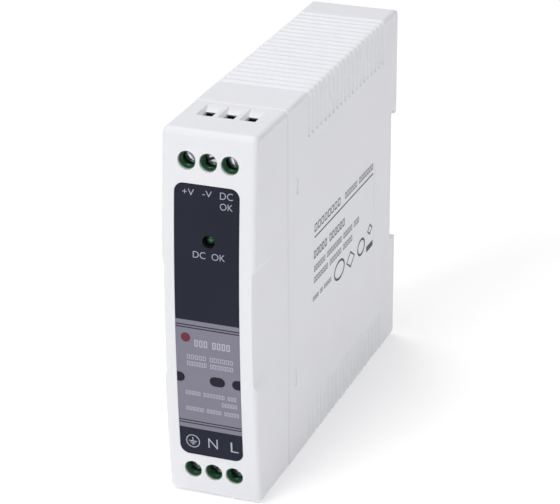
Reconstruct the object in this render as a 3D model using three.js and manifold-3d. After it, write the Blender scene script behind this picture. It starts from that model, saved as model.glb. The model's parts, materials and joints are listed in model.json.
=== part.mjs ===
// DIN rail power supply, 22.5 mm wide: a snap-together plastic case around a main board and a front
// board, two three-pole rising-cage terminal blocks, a status lamp and a sprung rail latch.
// Millimetres. +Z up, +X to the right, front face towards -Y, origin at the middle of the base.
import * as THREE from 'three';
import { mergeVertices } from 'three/addons/utils/BufferGeometryUtils.js';
import { ConvexGeometry } from 'three/addons/geometries/ConvexGeometry.js';
import Module from 'manifold-3d';

const wasm = await Module();
wasm.setup();

// Overall size. Depths are measured back from the foremost point of the front face.
const WIDTH = 22.5;
const HEIGHT = 90;
const DEPTH = 100;
const HALF = WIDTH / 2;
const MID_Z = HEIGHT / 2;
const GAP = 0.3; // left between pieces that touch or fit into each other
const at = (depth) => depth - DEPTH / 2; // depth to Y

const THROUGH_FRONT = [at(-2), at(6)]; // span of the tools that cut the front wall
const HOLE_SEGMENTS = 20;
const ARC_STEPS = 3; // facets in each rounded corner

// Shells
const SEAM = 21; // depth of the joint between front cover and rear case
const COVER_WALL = 1.5;
const CASE_WALL = 1.7;
const FRONT_RISE = 2.45; // how far the curved front stands proud of its top and bottom ends
const FRONT_RADIUS = ((HEIGHT / 2) ** 2 + FRONT_RISE ** 2) / (2 * FRONT_RISE);
const FRONT_CORNER = 1.8; // round on the top and bottom front edges
const COVER_EDGE = 1.3; // round on the vertical front edges
const CASE_EDGE = 1; // round on the long edges
const REAR_CORNER = 2; // round on the rear top and bottom edges
const CAVITY_BACK = 93.9; // depth of the wall behind the boards
const HOOK_HOLLOW = { back: 98.2, roof: 2.4 };
const FINGER_HOLLOW = { low: 29, high: 61, ramp: 2.6, depth: 0.8, reach: 18 };

// Snap tongues reach behind the seam and hook into the side walls of the rear case.
const TONGUES = [[66.5, 72.5], [18.5, 24.9]];
const TONGUE = { inner: 8.2, outer: 9.2, root: 9.9, front: 14, legFront: 18, back: 29.5 };
const BARB = { outer: 9.85, front: 25.8, back: 27.8, margin: 1 };
const CATCH_OUTER = 10.3;

// Wire entries in the top and bottom walls, each with a long lead-in behind it
const SLOT = { half: 1.65, front: 12.5, back: 17.25, drop: 0.55 };
const MOUTH = { half: 1.9, front: 12.1, back: 19.8 };

// Cooling grooves across the top and bottom of the rear case
const GROOVE_COUNT = 20;
const GROOVE_PITCH = 2.795;
const GROOVE_FIRST = 35.2;
const GROOVE_WIDTH = 1.5;
const GROOVE_DEPTH = 0.55;
const GROOVE_LEG = 11.2; // how far a groove runs down the side
const GROOVE_CORNER = 2;

// Rail seat for a 35 mm top-hat rail
const SEAT_DEPTH = 96.06;
const SEAT_TOP = 62.5; // free end of the fixed hook
const SEAT_FOOT = 28.4;
const HOOK_TOP = 63.8;
const HOOK_THICKNESS = 1.7;
const SLOT_STEP = 0.1; // the hook's slot is cut this much deeper than the seat

// Rail latch: a plate that slides in a pocket, held by side tongues that run in a guide
const POCKET = { front: 95.3, half: 8.3, top: 31.5 };
const GUIDE = { half: 9.5, front: 96.4, back: 98.2, low: 1, high: SEAT_FOOT + 1 };
const PLATE = { half: 8, front: 95.6, back: 98.2, low: 4, high: 28.1 };
const RUNNER = { front: 96.7, back: 97.9, low: 5, high: 26 };
const NOSE = { half: 6, front: 97.35, ridge: 98, back: 99.6, low: 25.1, shoulder: 29.2, tip: 31 };
const GRIP = { half: 4.5, back: 99.7, high: 7.2 };
const DRIVER_SLOT = { half: 2.4, low: 4.9, high: 6.3 };
const WINDOW = { half: 2.9, top: 20 };
const POST = { half: 2.2, back: 98.7, low: 8, high: 10 };
const SPRING = { radius: 1.35, wire: 0.45, turns: 6, depth: 96.95, stepsPerTurn: 10 };

// Terminals: three poles on each block. Heights are measured from the middle of the case.
const POLE_PITCH = 5.08;
const POLES = [-1, 0, 1];
const SCREW_RISE = 38.2;
const HOLE_RADIUS = 2.15;
const BLOCK = { half: 8.1, front: 3.9, back: 19.6, inner: 33, outer: 43.2 };
const WELL = { radius: 2.05, back: 7.8 }; // recess that the screw head lies in
const SHANK_BORE = { radius: 1.55, front: 7, back: 9.5 };
const CHAMBER = { half: 2.1, front: 8.8, back: 18.4, floor: 1 };
const BRIDGE = { half: 2.15, back: 12.2, thickness: 1.2 };
const SCREW = { head: 1.8, front: 5.9, headBack: 7.5, shank: 1.25, tip: 13.2 };
const SCREW_SLOT = { half: 0.35, back: 6.7 };
const CAGE = { half: 1.8, front: 11.6, back: 17.9, rise: 2.4 };
const CAGE_WINDOW = { half: 1.4, front: 13, back: 16.9 };
const CAGE_BORE = { radius: 1.38, back: 13.6, notchHalf: 1.2, notchRise: 1.9, notchBack: 13.1 };
const CONTACT = { front: 13.5, thickness: 0.8, half: 0.85, legHalf: 0.5, rise: 3.1 };
const LEG_RISE = BLOCK.inner + 1.3;

// Front panel and status lamp
const PANEL_X = -0.19;
const PANEL_Z = 44.55;
const PANEL_WIDTH = 15.5;
const PANEL_HEIGHT = 67.1;
const PANEL_CORNER = 2.2;
const PANEL_THICKNESS = 0.3;
const LAMP_X = 0.3;
const LAMP_Z = 65.1;
const LAMP_HOLE = 1.65;
const LAMP = { tip: 1.6, radius: 1.5, flange: 1.9, flangeFront: 6.2, back: 7.2 };
const LAMP_LEADS = [-1.27, 1.27];
const LAMP_LEAD_HALF = 0.25;
const SPACER = { radius: 2.4, bore: 0.55 };

// Boards
const BOARD_THICKNESS = 1.6;
const MAIN_BACK = -7.9; // solder side of the main board
const MAIN_FACE = MAIN_BACK + BOARD_THICKNESS;
const MAIN_FRONT = 22.2;
const MAIN_REAR = 93;
const MAIN_MARGIN = 2.1; // from the board's edge to the outside of the case, top and bottom
const FRONT_FACE = 20; // depth of the front board
const FRONT_BACK = FRONT_FACE + BOARD_THICKNESS;
const FRONT_HALF = 7.8;
const FRONT_MARGIN = 2.4;
const BOARD_RIB = { front: 30, height: 3.4, thickness: 1.2 };
const SHEET = { outer: -9.25, inner: -8.85, front: 31, back: 92.5, margin: 4 };
const LINK = { low: 34, high: 54, size: 2.5 };
const LINK_PINS = [36, 40, 44, 48, 52];
const LEAD = 0.6;
const LEAD_HOLE = 1.2;
const LEAD_STUB = 0.6; // how far a lead shows behind the board
const STAND = MAIN_FACE + GAP; // where parts on the main board begin
const BITE = 0.1; // how far two joined shapes run into each other

// Parts on the main board
const FUSE = { depth: 27, low: 14, high: 27, radius: 1.9, cap: 2.15, capLength: 2 };
const CHOKE = { depth: 70, z: 14, rise: 4.6, leg: 1.6, reach: 7, half: 5.2, turns: 1.6, pitch: 3 };
const BULK_GROOVE = { from: 2, to: 2.8, depth: 0.5 };
const BULK = { depth: 83.5, radius: 6.3, low: 30, high: 51, pitch: 2.5, groove: BULK_GROOVE };
const DEVICE = { foot: 3, rise: 12.5, thickness: 4.3, half: 5, pitch: 2.54 };
const HEATSINK = { rise: 14.2, thickness: 1.5, half: 8, lip: { thickness: 1.3, reach: 5 }, pitch: 6 };
const HEATSINK_GAP = 0.4; // between a heatsink and the device in front of it
const CORE = { depth: 52, z: 45, x: 1.2, leg: 2.7, half: 9.6, reach: 9.6, back: 3 };
const BOBBIN = { wall: 0.8, flange: 6.3, flangeThickness: 1, winding: 1.9, pitch: 5 };
const DRUM = { depth: 32, z: 64, radius: 4.5, waist: 3.8, cheek: 1.5, rise: 9.5, pitch: 2.5 };
const SNUBBER = { front: 79, back: 90, z: 62, radius: 1.9, wire: 0.35, tail: 1.6 };
const PRIMARY = { sink: 71, z: 42 };
const SECONDARY = { sink: 49, z: 68 };

const plastic = (color, roughness = 0.55) => new THREE.MeshStandardMaterial({ color, roughness });
const metal = (color, roughness = 0.35) =>
  new THREE.MeshStandardMaterial({ color, roughness, metalness: 1 });
const finish = {
  shell: plastic(0xe9e9ec),
  panel: plastic(0x2c2d3a, 0.4),
  terminal: plastic(0x1f5a36, 0.45),
  steel: metal(0xbfc3c7),
  brass: metal(0xc9a45c),
  aluminium: metal(0xb8bcc0, 0.5),
  board: plastic(0x2f6b3c),
  black: plastic(0x17181a),
  lamp: plastic(0x2f8f4a, 0.15),
  copper: metal(0xb5673a, 0.4),
  ferrite: plastic(0x2b2b2e, 0.8),
  sleeve: plastic(0x1d2a4a, 0.3),
  blue: plastic(0x2c62b0, 0.45),
  green: plastic(0x2f6a3a, 0.5),
  yellow: plastic(0xd9b93c, 0.5),
  nylon: plastic(0xd8d4c4),
  sheet: plastic(0xe4dfc8, 0.7),
};

// Solids

const X_AXIS = new THREE.Vector3(1, 0, 0);
const Y_AXIS = new THREE.Vector3(0, 1, 0);
const Z_AXIS = new THREE.Vector3(0, 0, 1);

function toSolid(geometry) {
  const bare = geometry.clone();
  bare.deleteAttribute('normal');
  bare.deleteAttribute('uv');
  const merged = mergeVertices(bare);
  const vertProperties = new Float32Array(merged.attributes.position.array);
  const triVerts = new Uint32Array(merged.index.array);
  return new wasm.Manifold(new wasm.Mesh({ numProp: 3, vertProperties, triVerts }));
}

function toGeometry(solid) {
  const { vertProperties, triVerts } = solid.getMesh();
  const geometry = new THREE.BufferGeometry();
  geometry.setAttribute('position', new THREE.BufferAttribute(vertProperties, 3));
  geometry.setIndex(new THREE.BufferAttribute(triVerts, 1));
  geometry.computeVertexNormals();
  return geometry;
}

const join = (solids) => solids.reduce((whole, solid) => whole.add(solid));
const cut = (solid, tools) => tools.reduce((rest, tool) => rest.subtract(tool), solid);
const ordered = (a, b) => (a < b ? [a, b] : [b, a]);

function block(x0, x1, y0, y1, z0, z1) {
  const geometry = new THREE.BoxGeometry(x1 - x0, y1 - y0, z1 - z0);
  geometry.translate((x0 + x1) / 2, (y0 + y1) / 2, (z0 + z1) / 2);
  return toSolid(geometry);
}

// A round bar along X, Y or Z, from one end to the other, centred on the two other coordinates.
function bar(axis, radius, from, to, a, b, segments = 16) {
  const geometry = new THREE.CylinderGeometry(radius, radius, to - from, segments);
  const middle = (from + to) / 2;
  if (axis === 'x') {
    geometry.rotateZ(Math.PI / 2);
    geometry.translate(middle, a, b);
  } else if (axis === 'y') {
    geometry.translate(a, middle, b);
  } else {
    geometry.rotateX(Math.PI / 2);
    geometry.translate(a, b, middle);
  }
  return toSolid(geometry);
}

// A turned piece along X: the outline lists [distance from the axis, X].
function turned(outline, y, z, segments = 18) {
  const geometry = new THREE.LatheGeometry(outline.map(([r, x]) => new THREE.Vector2(r, x)), segments);
  geometry.rotateZ(-Math.PI / 2);
  geometry.translate(0, y, z);
  return toSolid(geometry);
}

// An outline of [y, z] points drawn out along X.
function prismX(points, x0, x1) {
  const geometry = new THREE.ExtrudeGeometry(outlineShape(points), { depth: x1 - x0, bevelEnabled: false });
  return toSolid(placeAlongX(geometry, x0));
}

// An outline of [x, z] points drawn out along Y.
function prismY(points, y0, y1) {
  const geometry = new THREE.ExtrudeGeometry(outlineShape(points), { depth: y1 - y0, bevelEnabled: false });
  const axes = new THREE.Matrix4().makeBasis(X_AXIS, Z_AXIS, Y_AXIS.clone().negate());
  geometry.applyMatrix4(axes);
  geometry.translate(0, y1, 0);
  return toSolid(geometry);
}

function placeAlongX(geometry, x0) {
  geometry.applyMatrix4(new THREE.Matrix4().makeBasis(Y_AXIS, Z_AXIS, X_AXIS));
  geometry.translate(x0, 0, 0);
  return geometry;
}

function outlineShape(points) {
  return new THREE.Shape(points.map(([a, b]) => new THREE.Vector2(a, b)));
}

const hull = (points) => toSolid(new ConvexGeometry(points.map(([x, y, z]) => new THREE.Vector3(x, y, z))));

// A quarter circle about [cx, cy], from one angle to another, in degrees.
function arc(cx, cy, radius, from, to, steps = ARC_STEPS) {
  return Array.from({ length: steps + 1 }, (_, i) => {
    const angle = THREE.MathUtils.degToRad(from + ((to - from) * i) / steps);
    return [cx + radius * Math.cos(angle), cy + radius * Math.sin(angle)];
  });
}

function roundedRectangle(cx, cz, width, height, radius, steps = ARC_STEPS) {
  const w = width / 2 - radius;
  const h = height / 2 - radius;
  return [
    ...arc(cx + w, cz - h, radius, -90, 0, steps),
    ...arc(cx + w, cz + h, radius, 0, 90, steps),
    ...arc(cx - w, cz + h, radius, 90, 180, steps),
    ...arc(cx - w, cz - h, radius, 180, 270, steps),
  ];
}

// Depth of the curved front at a height, for a surface set back from the outside.
function frontDepth(z, inset = 0) {
  const radius = FRONT_RADIUS - inset;
  return FRONT_RADIUS - Math.sqrt(radius ** 2 - (z - MID_Z) ** 2);
}

// Points of the front curve from one height to another, as [y, z].
function frontCurve(z0, z1, inset, steps = 10) {
  return Array.from({ length: steps + 1 }, (_, i) => {
    const z = z0 + ((z1 - z0) * i) / steps;
    return [at(frontDepth(z, inset)), z];
  });
}

const frontHole = (x, z, radius) => bar('y', radius, ...THROUGH_FRONT, x, z, HOLE_SEGMENTS);
const turnOver = (solid) => solid.rotate([0, 180, 0]).translate([0, 0, HEIGHT]);

// Front cover

function coverOuter() {
  const corner = FRONT_CORNER;
  const rounded = at(frontDepth(corner)) + corner;
  const profile = [
    [at(SEAM + 5), 0],
    [at(SEAM + 5), HEIGHT],
    ...arc(rounded, HEIGHT - corner, corner, 90, 180),
    ...frontCurve(HEIGHT - corner, corner, 0).slice(1, -1),
    ...arc(rounded, corner, corner, 180, 270),
  ].reverse();
  const geometry = new THREE.ExtrudeGeometry(outlineShape(profile), {
    depth: WIDTH - 2 * COVER_EDGE,
    bevelThickness: COVER_EDGE,
    bevelSize: COVER_EDGE,
    bevelOffset: -COVER_EDGE,
    bevelSegments: 2,
  });
  const rear = block(-HALF - 1, HALF + 1, at(SEAM - GAP), at(SEAM + 8), -1, HEIGHT + 1);
  return toSolid(placeAlongX(geometry, -HALF + COVER_EDGE)).subtract(rear);
}

function coverInner() {
  const low = COVER_WALL;
  const high = HEIGHT - COVER_WALL;
  const profile = [[at(SEAM + 1), low], [at(SEAM + 1), high], ...frontCurve(high, low, COVER_WALL, 8)];
  return prismX(profile.reverse(), -HALF + COVER_WALL, HALF - COVER_WALL);
}

// A thin curved slab that follows the front, between two distances in from the surface.
function frontSlab(inset0, inset1, margin) {
  const low = PANEL_Z - PANEL_HEIGHT / 2 - 1;
  const high = PANEL_Z + PANEL_HEIGHT / 2 + 1;
  const outline = [...frontCurve(high, low, inset0, 8), ...frontCurve(low, high, inset1, 8)];
  const slab = prismX(outline, -HALF, HALF);
  const size = [PANEL_WIDTH - 2 * margin, PANEL_HEIGHT - 2 * margin, PANEL_CORNER - margin];
  return slab.intersect(prismY(roundedRectangle(PANEL_X, PANEL_Z, ...size), ...THROUGH_FRONT));
}

// The hollows for finger and thumb: a shallow wedge on each side, deepest at the front.
function fingerHollow(side) {
  const { low, high, ramp, depth, reach } = FINGER_HOLLOW;
  const proud = side * (HALF + 1);
  const inner = side * (HALF - depth);
  const points = [];
  for (const [z, slope] of [[low, 1], [high, -1]]) {
    points.push([proud, at(-1), z - slope * 2]);
    points.push([inner, at(-1), z + slope * ramp]);
    points.push([side * HALF, at(reach), z + slope * ramp]);
    points.push([proud, at(reach), z - slope]);
  }
  return hull(points);
}

function wireMouth(x) {
  const { half, front, back, drop } = SLOT;
  const slot = block(x - half, x + half, at(front), at(back), HEIGHT - 3, HEIGHT + 1);
  const rectangle = (size, from, to, z) => [
    [x - size, at(from), z], [x + size, at(from), z],
    [x - size, at(to), z], [x + size, at(to), z],
  ];
  const leadIn = hull([
    ...rectangle(half, front, back, HEIGHT - drop),
    ...rectangle(MOUTH.half, MOUTH.front, MOUTH.back, HEIGHT),
    ...rectangle(MOUTH.half, MOUTH.front, MOUTH.back, HEIGHT + 1),
  ]);
  return slot.add(leadIn);
}

function snapTongue(side, z0, z1) {
  const across = (outer) => ordered(side * TONGUE.inner, side * outer);
  return join([
    block(...across(TONGUE.root), at(TONGUE.front), at(SEAM - GAP), z0, z1),
    block(...across(TONGUE.outer), at(TONGUE.legFront), at(TONGUE.back), z0, z1),
    block(...across(BARB.outer), at(BARB.front), at(BARB.back), z0 + BARB.margin, z1 - BARB.margin),
  ]);
}

function frontCover() {
  const screwHoles = [];
  const wireMouths = [];
  for (const pole of POLES) {
    const x = pole * POLE_PITCH;
    screwHoles.push(frontHole(x, MID_Z + SCREW_RISE, HOLE_RADIUS));
    screwHoles.push(frontHole(x, MID_Z - SCREW_RISE, HOLE_RADIUS));
    wireMouths.push(wireMouth(x));
    wireMouths.push(turnOver(wireMouth(x)));
  }
  const shell = cut(coverOuter(), [
    coverInner(),
    frontSlab(-1, PANEL_THICKNESS + GAP, 0),
    fingerHollow(1),
    fingerHollow(-1),
    frontHole(LAMP_X, LAMP_Z, LAMP_HOLE),
    ...screwHoles,
    ...wireMouths,
  ]);
  const tongues = TONGUES.flatMap(([z0, z1]) => [snapTongue(1, z0, z1), snapTongue(-1, z0, z1)]);
  return join([shell, ...tongues]);
}

function frontPanel() {
  return frontSlab(0, PANEL_THICKNESS, GAP).subtract(frontHole(LAMP_X, LAMP_Z, LAMP_HOLE));
}

// Rear case

function caseProfile() {
  const rear = at(DEPTH);
  const corner = REAR_CORNER;
  const seat = at(SEAT_DEPTH);
  return [
    [at(SEAM), 0],
    ...arc(rear - corner, corner, corner, -90, 0),
    [rear, SEAT_FOOT],
    [seat, SEAT_FOOT],
    [seat, SEAT_TOP],
    [seat - SLOT_STEP, SEAT_TOP],
    [seat - SLOT_STEP, HOOK_TOP],
    [rear - HOOK_THICKNESS, HOOK_TOP],
    [rear - HOOK_THICKNESS, SEAT_TOP],
    [rear, SEAT_TOP],
    ...arc(rear - corner, HEIGHT - corner, corner, 0, 90),
    [at(SEAM), HEIGHT],
  ];
}

// One groove: a hoop that crosses the top and runs a little way down both sides.
function groove(index, bottom) {
  const centre = at(GROOVE_FIRST + index * GROOVE_PITCH);
  const floor = HALF - GROOVE_DEPTH;
  const radius = GROOVE_CORNER;
  const end = HEIGHT - GROOVE_LEG;
  const points = [
    [HALF + 1, end],
    [HALF + 1, HEIGHT + 1],
    [-HALF - 1, HEIGHT + 1],
    [-HALF - 1, end],
    [-floor, end],
    ...arc(-floor + radius, HEIGHT - GROOVE_DEPTH - radius, radius, 180, 90, 2),
    ...arc(floor - radius, HEIGHT - GROOVE_DEPTH - radius, radius, 90, 0, 2),
    [floor, end],
  ];
  const hoop = prismY(points, centre - GROOVE_WIDTH / 2, centre + GROOVE_WIDTH / 2);
  return bottom ? turnOver(hoop) : hoop;
}

// Ribs inside the top and bottom walls hold the edges of the main board.
function boardGuides() {
  const { front, height, thickness } = BOARD_RIB;
  const wall = HALF - CASE_WALL + BITE;
  const face = MAIN_FACE + GAP;
  const span = [at(front), at(CAVITY_BACK) + BITE / 2];
  const heights = [[CASE_WALL - BITE, height], [HEIGHT - height, HEIGHT - CASE_WALL + BITE]];
  return heights.flatMap(([z0, z1]) => [
    block(-wall, MAIN_BACK - GAP, ...span, z0, z1),
    block(face, face + thickness, ...span, z0, z1),
  ]);
}

// Slots in the side walls that the barbs of the snap tongues spring into
function barbCatches() {
  const wall = HALF - CASE_WALL - BITE;
  const span = [at(BARB.front - GAP), at(BARB.back + GAP)];
  return TONGUES.flatMap(([z0, z1]) => [1, -1].map((side) => {
    const across = ordered(side * wall, side * CATCH_OUTER);
    return block(...across, ...span, z0 + BARB.margin - GAP, z1 - BARB.margin + GAP);
  }));
}

function rearCase() {
  const outer = prismX(caseProfile(), -HALF, HALF)
    .intersect(prismY(roundedRectangle(0, MID_Z, WIDTH, HEIGHT, CASE_EDGE), at(SEAM - 1), at(DEPTH + 1)));
  const wall = HALF - CASE_WALL;
  const beyond = DEPTH + 2;
  const cavity = block(-wall, wall, at(SEAM - 2), at(CAVITY_BACK), CASE_WALL, HEIGHT - CASE_WALL);
  const hookHollow = block(-wall, wall, at(CAVITY_BACK - 1), at(HOOK_HOLLOW.back),
    HOOK_TOP + CASE_WALL, HEIGHT - HOOK_HOLLOW.roof);
  const pocket = block(-POCKET.half, POCKET.half, at(POCKET.front), at(beyond), -1, POCKET.top);
  const guide = block(-GUIDE.half, GUIDE.half, at(GUIDE.front), at(GUIDE.back), GUIDE.low, GUIDE.high);
  const grooves = Array.from({ length: GROOVE_COUNT }, (_, i) => [groove(i, false), groove(i, true)]);
  const shell = cut(outer, [cavity, hookHollow, pocket, guide, ...barbCatches(), join(grooves.flat())]);
  const post = block(-POST.half, POST.half, at(POCKET.front) - BITE, at(POST.back), POST.low, POST.high);
  return join([shell, post, ...boardGuides()]);
}

// Rail latch and its spring

function railLatch() {
  const beyond = DEPTH + 1;
  const nose = prismX([
    [at(NOSE.front), NOSE.low],
    [at(NOSE.back), NOSE.low],
    [at(NOSE.back), NOSE.shoulder],
    [at(NOSE.ridge), NOSE.tip],
    [at(NOSE.front), NOSE.tip],
  ], -NOSE.half, NOSE.half);
  const runner = GUIDE.half - GAP;
  const latch = join([
    block(-PLATE.half, PLATE.half, at(PLATE.front), at(PLATE.back), PLATE.low, PLATE.high),
    block(-runner, runner, at(RUNNER.front), at(RUNNER.back), RUNNER.low, RUNNER.high),
    block(-GRIP.half, GRIP.half, at(PLATE.back) - BITE, at(GRIP.back), PLATE.low, GRIP.high),
    nose,
  ]);
  const through = [at(PLATE.front) - 1, at(beyond)];
  const { half, low, high } = DRIVER_SLOT;
  return cut(latch, [
    block(-WINDOW.half, WINDOW.half, ...through, POST.low - GAP, WINDOW.top),
    block(-half, half, ...through, low, high),
  ]);
}

class Coil extends THREE.Curve {
  constructor(radius, turns, z0, z1) {
    super();
    Object.assign(this, { radius, turns, z0, z1 });
  }

  getPoint(t, target = new THREE.Vector3()) {
    const angle = 2 * Math.PI * this.turns * t;
    const z = THREE.MathUtils.lerp(this.z0, this.z1, t);
    return target.set(this.radius * Math.cos(angle), this.radius * Math.sin(angle), z);
  }
}

function latchSpring() {
  const radius = SPRING.wire / 2;
  const margin = GAP + radius;
  const coil = new Coil(SPRING.radius, SPRING.turns, POST.high + margin, WINDOW.top - margin);
  const wireSection = outlineShape(arc(0, 0, radius, 0, 300, 5));
  const geometry = new THREE.ExtrudeGeometry(wireSection, {
    steps: SPRING.turns * SPRING.stepsPerTurn,
    extrudePath: coil,
  });
  geometry.translate(0, at(SPRING.depth), 0);
  return toSolid(geometry);
}

// Terminal block, drawn for the top of the case with heights measured from the middle. The block at
// the bottom is the same one turned half a turn about the front-to-back line.

function terminalBody() {
  const { half, front, back, inner, outer } = BLOCK;
  const legSlot = { half: 1.1, front: CHAMBER.back - 0.4, low: inner + CHAMBER.floor, high: inner + 2.4 };
  const tools = POLES.flatMap((pole) => {
    const x = pole * POLE_PITCH;
    return [
      bar('y', WELL.radius, at(front - 1), at(WELL.back), x, SCREW_RISE, HOLE_SEGMENTS),
      bar('y', SHANK_BORE.radius, at(SHANK_BORE.front), at(SHANK_BORE.back), x, SCREW_RISE, 12),
      block(x - CHAMBER.half, x + CHAMBER.half, at(CHAMBER.front), at(CHAMBER.back),
        inner + CHAMBER.floor, outer + 1),
      block(x - legSlot.half, x + legSlot.half, at(legSlot.front), at(back + 1), legSlot.low, legSlot.high),
    ];
  });
  const bridges = POLES.map((pole) => {
    const x = pole * POLE_PITCH;
    const span = [at(CHAMBER.front), at(BRIDGE.back)];
    return block(x - BRIDGE.half, x + BRIDGE.half, ...span, outer - BRIDGE.thickness, outer);
  });
  return join([cut(block(-half, half, at(front), at(back), inner, outer), tools), ...bridges]);
}

function terminalScrew() {
  const { head, front, headBack, shank, tip } = SCREW;
  const { half, back } = SCREW_SLOT;
  return bar('y', head, at(front), at(headBack), 0, SCREW_RISE, 18)
    .add(bar('y', shank, at(headBack) - BITE, at(tip), 0, SCREW_RISE, 14))
    .subtract(block(-head - 1, head + 1, at(front - 1), at(back), SCREW_RISE - half, SCREW_RISE + half));
}

function wireCage() {
  const { half, front, back, rise } = CAGE;
  const { radius, notchHalf, notchRise, notchBack } = CAGE_BORE;
  const low = SCREW_RISE - rise;
  const high = SCREW_RISE + rise;
  const hollow = CAGE_WINDOW;
  return cut(block(-half, half, at(front), at(back), low, high), [
    block(-hollow.half, hollow.half, at(hollow.front), at(hollow.back), low - 1, high + 1),
    bar('y', radius, at(front - 1), at(CAGE_BORE.back), 0, SCREW_RISE, 14),
    block(-notchHalf, notchHalf, at(front - 1), at(notchBack), SCREW_RISE + notchRise, high + 1),
  ]);
}

function contactBar() {
  const { front, thickness, half, legHalf, rise } = CONTACT;
  return join([
    block(-half, half, at(front), at(front + thickness), LEG_RISE, SCREW_RISE + rise),
    block(-legHalf, legHalf, at(front), at(FRONT_BACK + 1.3), LEG_RISE, LEG_RISE + thickness),
  ]);
}

// Status lamp: a domed 3 mm lamp with two leads, on a spacer tube

const lampLeads = (half, y0, y1) => LAMP_LEADS.map((offset) => {
  const x = LAMP_X + offset;
  return block(x - half, x + half, y0, y1, LAMP_Z - half, LAMP_Z + half);
});

function statusLamp() {
  const { tip, radius, flange, flangeFront, back } = LAMP;
  const dome = arc(0, at(tip + radius), radius, -90, 0, 4).map(([r, y]) => new THREE.Vector2(r, y));
  dome[0].x = 0;
  const geometry = new THREE.LatheGeometry([
    ...dome,
    new THREE.Vector2(radius, at(flangeFront)),
    new THREE.Vector2(flange, at(flangeFront)),
    new THREE.Vector2(flange, at(back)),
    new THREE.Vector2(0, at(back)),
  ], 18);
  geometry.translate(LAMP_X, 0, LAMP_Z);
  return join([toSolid(geometry), ...lampLeads(LAMP_LEAD_HALF, at(back) - BITE, at(FRONT_BACK + 1))]);
}

function lampSpacer() {
  const [y0, y1] = [at(LAMP.back) + GAP, at(FRONT_FACE) - GAP];
  return cut(bar('y', SPACER.radius, y0, y1, LAMP_X, LAMP_Z), lampLeads(SPACER.bore, y0 - 1, y1 + 1));
}

// Boards. Every lead that goes through the main board is listed here as the parts are made.

const leadHoles = [];

function lead(depth, z, rise = STAND) {
  leadHoles.push([depth, z]);
  const half = LEAD / 2;
  return block(MAIN_BACK - LEAD_STUB, rise + BITE, at(depth) - half, at(depth) + half, z - half, z + half);
}

function boardLink() {
  const { low, high, size } = LINK;
  const front = FRONT_BACK + GAP;
  const middle = STAND + size / 2;
  const half = LEAD / 2;
  const housing = block(STAND, STAND + size, at(front), at(front + size), low, high);
  const pins = LINK_PINS.flatMap((z) => [
    lead(front + size / 2, z),
    block(middle - half, middle + half, at(FRONT_FACE) - LEAD_STUB, at(front) + BITE, z - half, z + half),
  ]);
  return join([housing, ...pins]);
}

function frontBoard() {
  const span = [at(FRONT_FACE), at(FRONT_BACK)];
  const board = block(-FRONT_HALF, FRONT_HALF, ...span, FRONT_MARGIN, HEIGHT - FRONT_MARGIN);
  const hole = (x, z, half) =>
    block(x - half, x + half, at(FRONT_FACE - 2), at(FRONT_BACK + 2), z - half, z + half);
  const legs = POLES.flatMap((pole) => [1, -1].map((end) => {
    const z = MID_Z + end * (LEG_RISE + CONTACT.thickness / 2);
    return hole(pole * POLE_PITCH, z, CONTACT.legHalf + 0.35);
  }));
  const lamp = LAMP_LEADS.map((offset) => hole(LAMP_X + offset, LAMP_Z, LEAD_HOLE / 2));
  const link = LINK_PINS.map((z) => hole(STAND + LINK.size / 2, z, LEAD_HOLE / 2));
  return cut(board, [...legs, ...lamp, ...link]);
}

function mainBoard() {
  const board = block(MAIN_BACK, MAIN_FACE, at(MAIN_FRONT), at(MAIN_REAR), MAIN_MARGIN, HEIGHT - MAIN_MARGIN);
  const half = LEAD_HOLE / 2;
  const holes = leadHoles.map(([depth, z]) =>
    block(MAIN_BACK - 1, MAIN_FACE + 1, at(depth) - half, at(depth) + half, z - half, z + half));
  return cut(board, holes);
}

function insulatingSheet() {
  const { outer, inner, front, back, margin } = SHEET;
  return block(outer, inner, at(front), at(back), margin, HEIGHT - margin);
}

// Parts on the main board: each has a depth and a height z, and rises from the board towards +X.

function disc({ radius, thickness, depth, z }) {
  const pitch = 2.5;
  const neck = 0.6;
  const x = STAND + radius + neck;
  const body = bar('y', radius, at(depth - thickness / 2), at(depth + thickness / 2), x, z, 18);
  const leads = [-pitch, pitch].map((offset) => lead(depth, z + offset, STAND + pitch - BITE));
  return join([body, ...leads]);
}

function boxPart({ depth, z, length, height, rise, pins }) {
  const span = [at(depth - length / 2), at(depth + length / 2)];
  const body = block(STAND, STAND + rise, ...span, z - height / 2, z + height / 2);
  return join([body, ...pins.map(([dDepth, dZ]) => lead(depth + dDepth, z + dZ))]);
}

const fourPins = (dDepth, dZ) => [[-dDepth, -dZ], [dDepth, -dZ], [-dDepth, dZ], [dDepth, dZ]];

function fuse() {
  const { depth, low, high, radius, cap, capLength } = FUSE;
  const x = STAND + radius + BITE;
  const tubeBody = bar('z', radius, low + 1, high - 1, x, at(depth));
  const caps = [[low, low + capLength], [high - capLength, high]].map(([z0, z1]) =>
    bar('z', cap, z0, z1, x, at(depth)));
  return join([tubeBody, ...caps, lead(depth, low + LEAD, x), lead(depth, high - LEAD, x)]);
}

function chokeCore() {
  const { depth, z, rise, leg, reach, half } = CHOKE;
  const x = STAND + rise;
  const frame = (dDepth, dZ, dx) =>
    block(x - dx, x + dx, at(depth - dDepth), at(depth + dDepth), z - dZ, z + dZ);
  return frame(reach, half, leg).subtract(frame(reach - 2 * leg, half - 2 * leg, leg + 1));
}

function chokeWinding(side) {
  const { depth, z, rise, leg, reach, half, turns, pitch } = CHOKE;
  const x = STAND + rise;
  const centre = z + side * (half - leg);
  const window = reach - 2 * leg - GAP;
  const sleeve = (size, length) =>
    block(x - size, x + size, at(depth - length), at(depth + length), centre - size, centre + size);
  const coil = sleeve(leg + turns, window).subtract(sleeve(leg + GAP, window + 1));
  const foot = x - leg - turns / 2;
  return join([coil, lead(depth - pitch, centre, foot), lead(depth + pitch, centre, foot)]);
}

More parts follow.
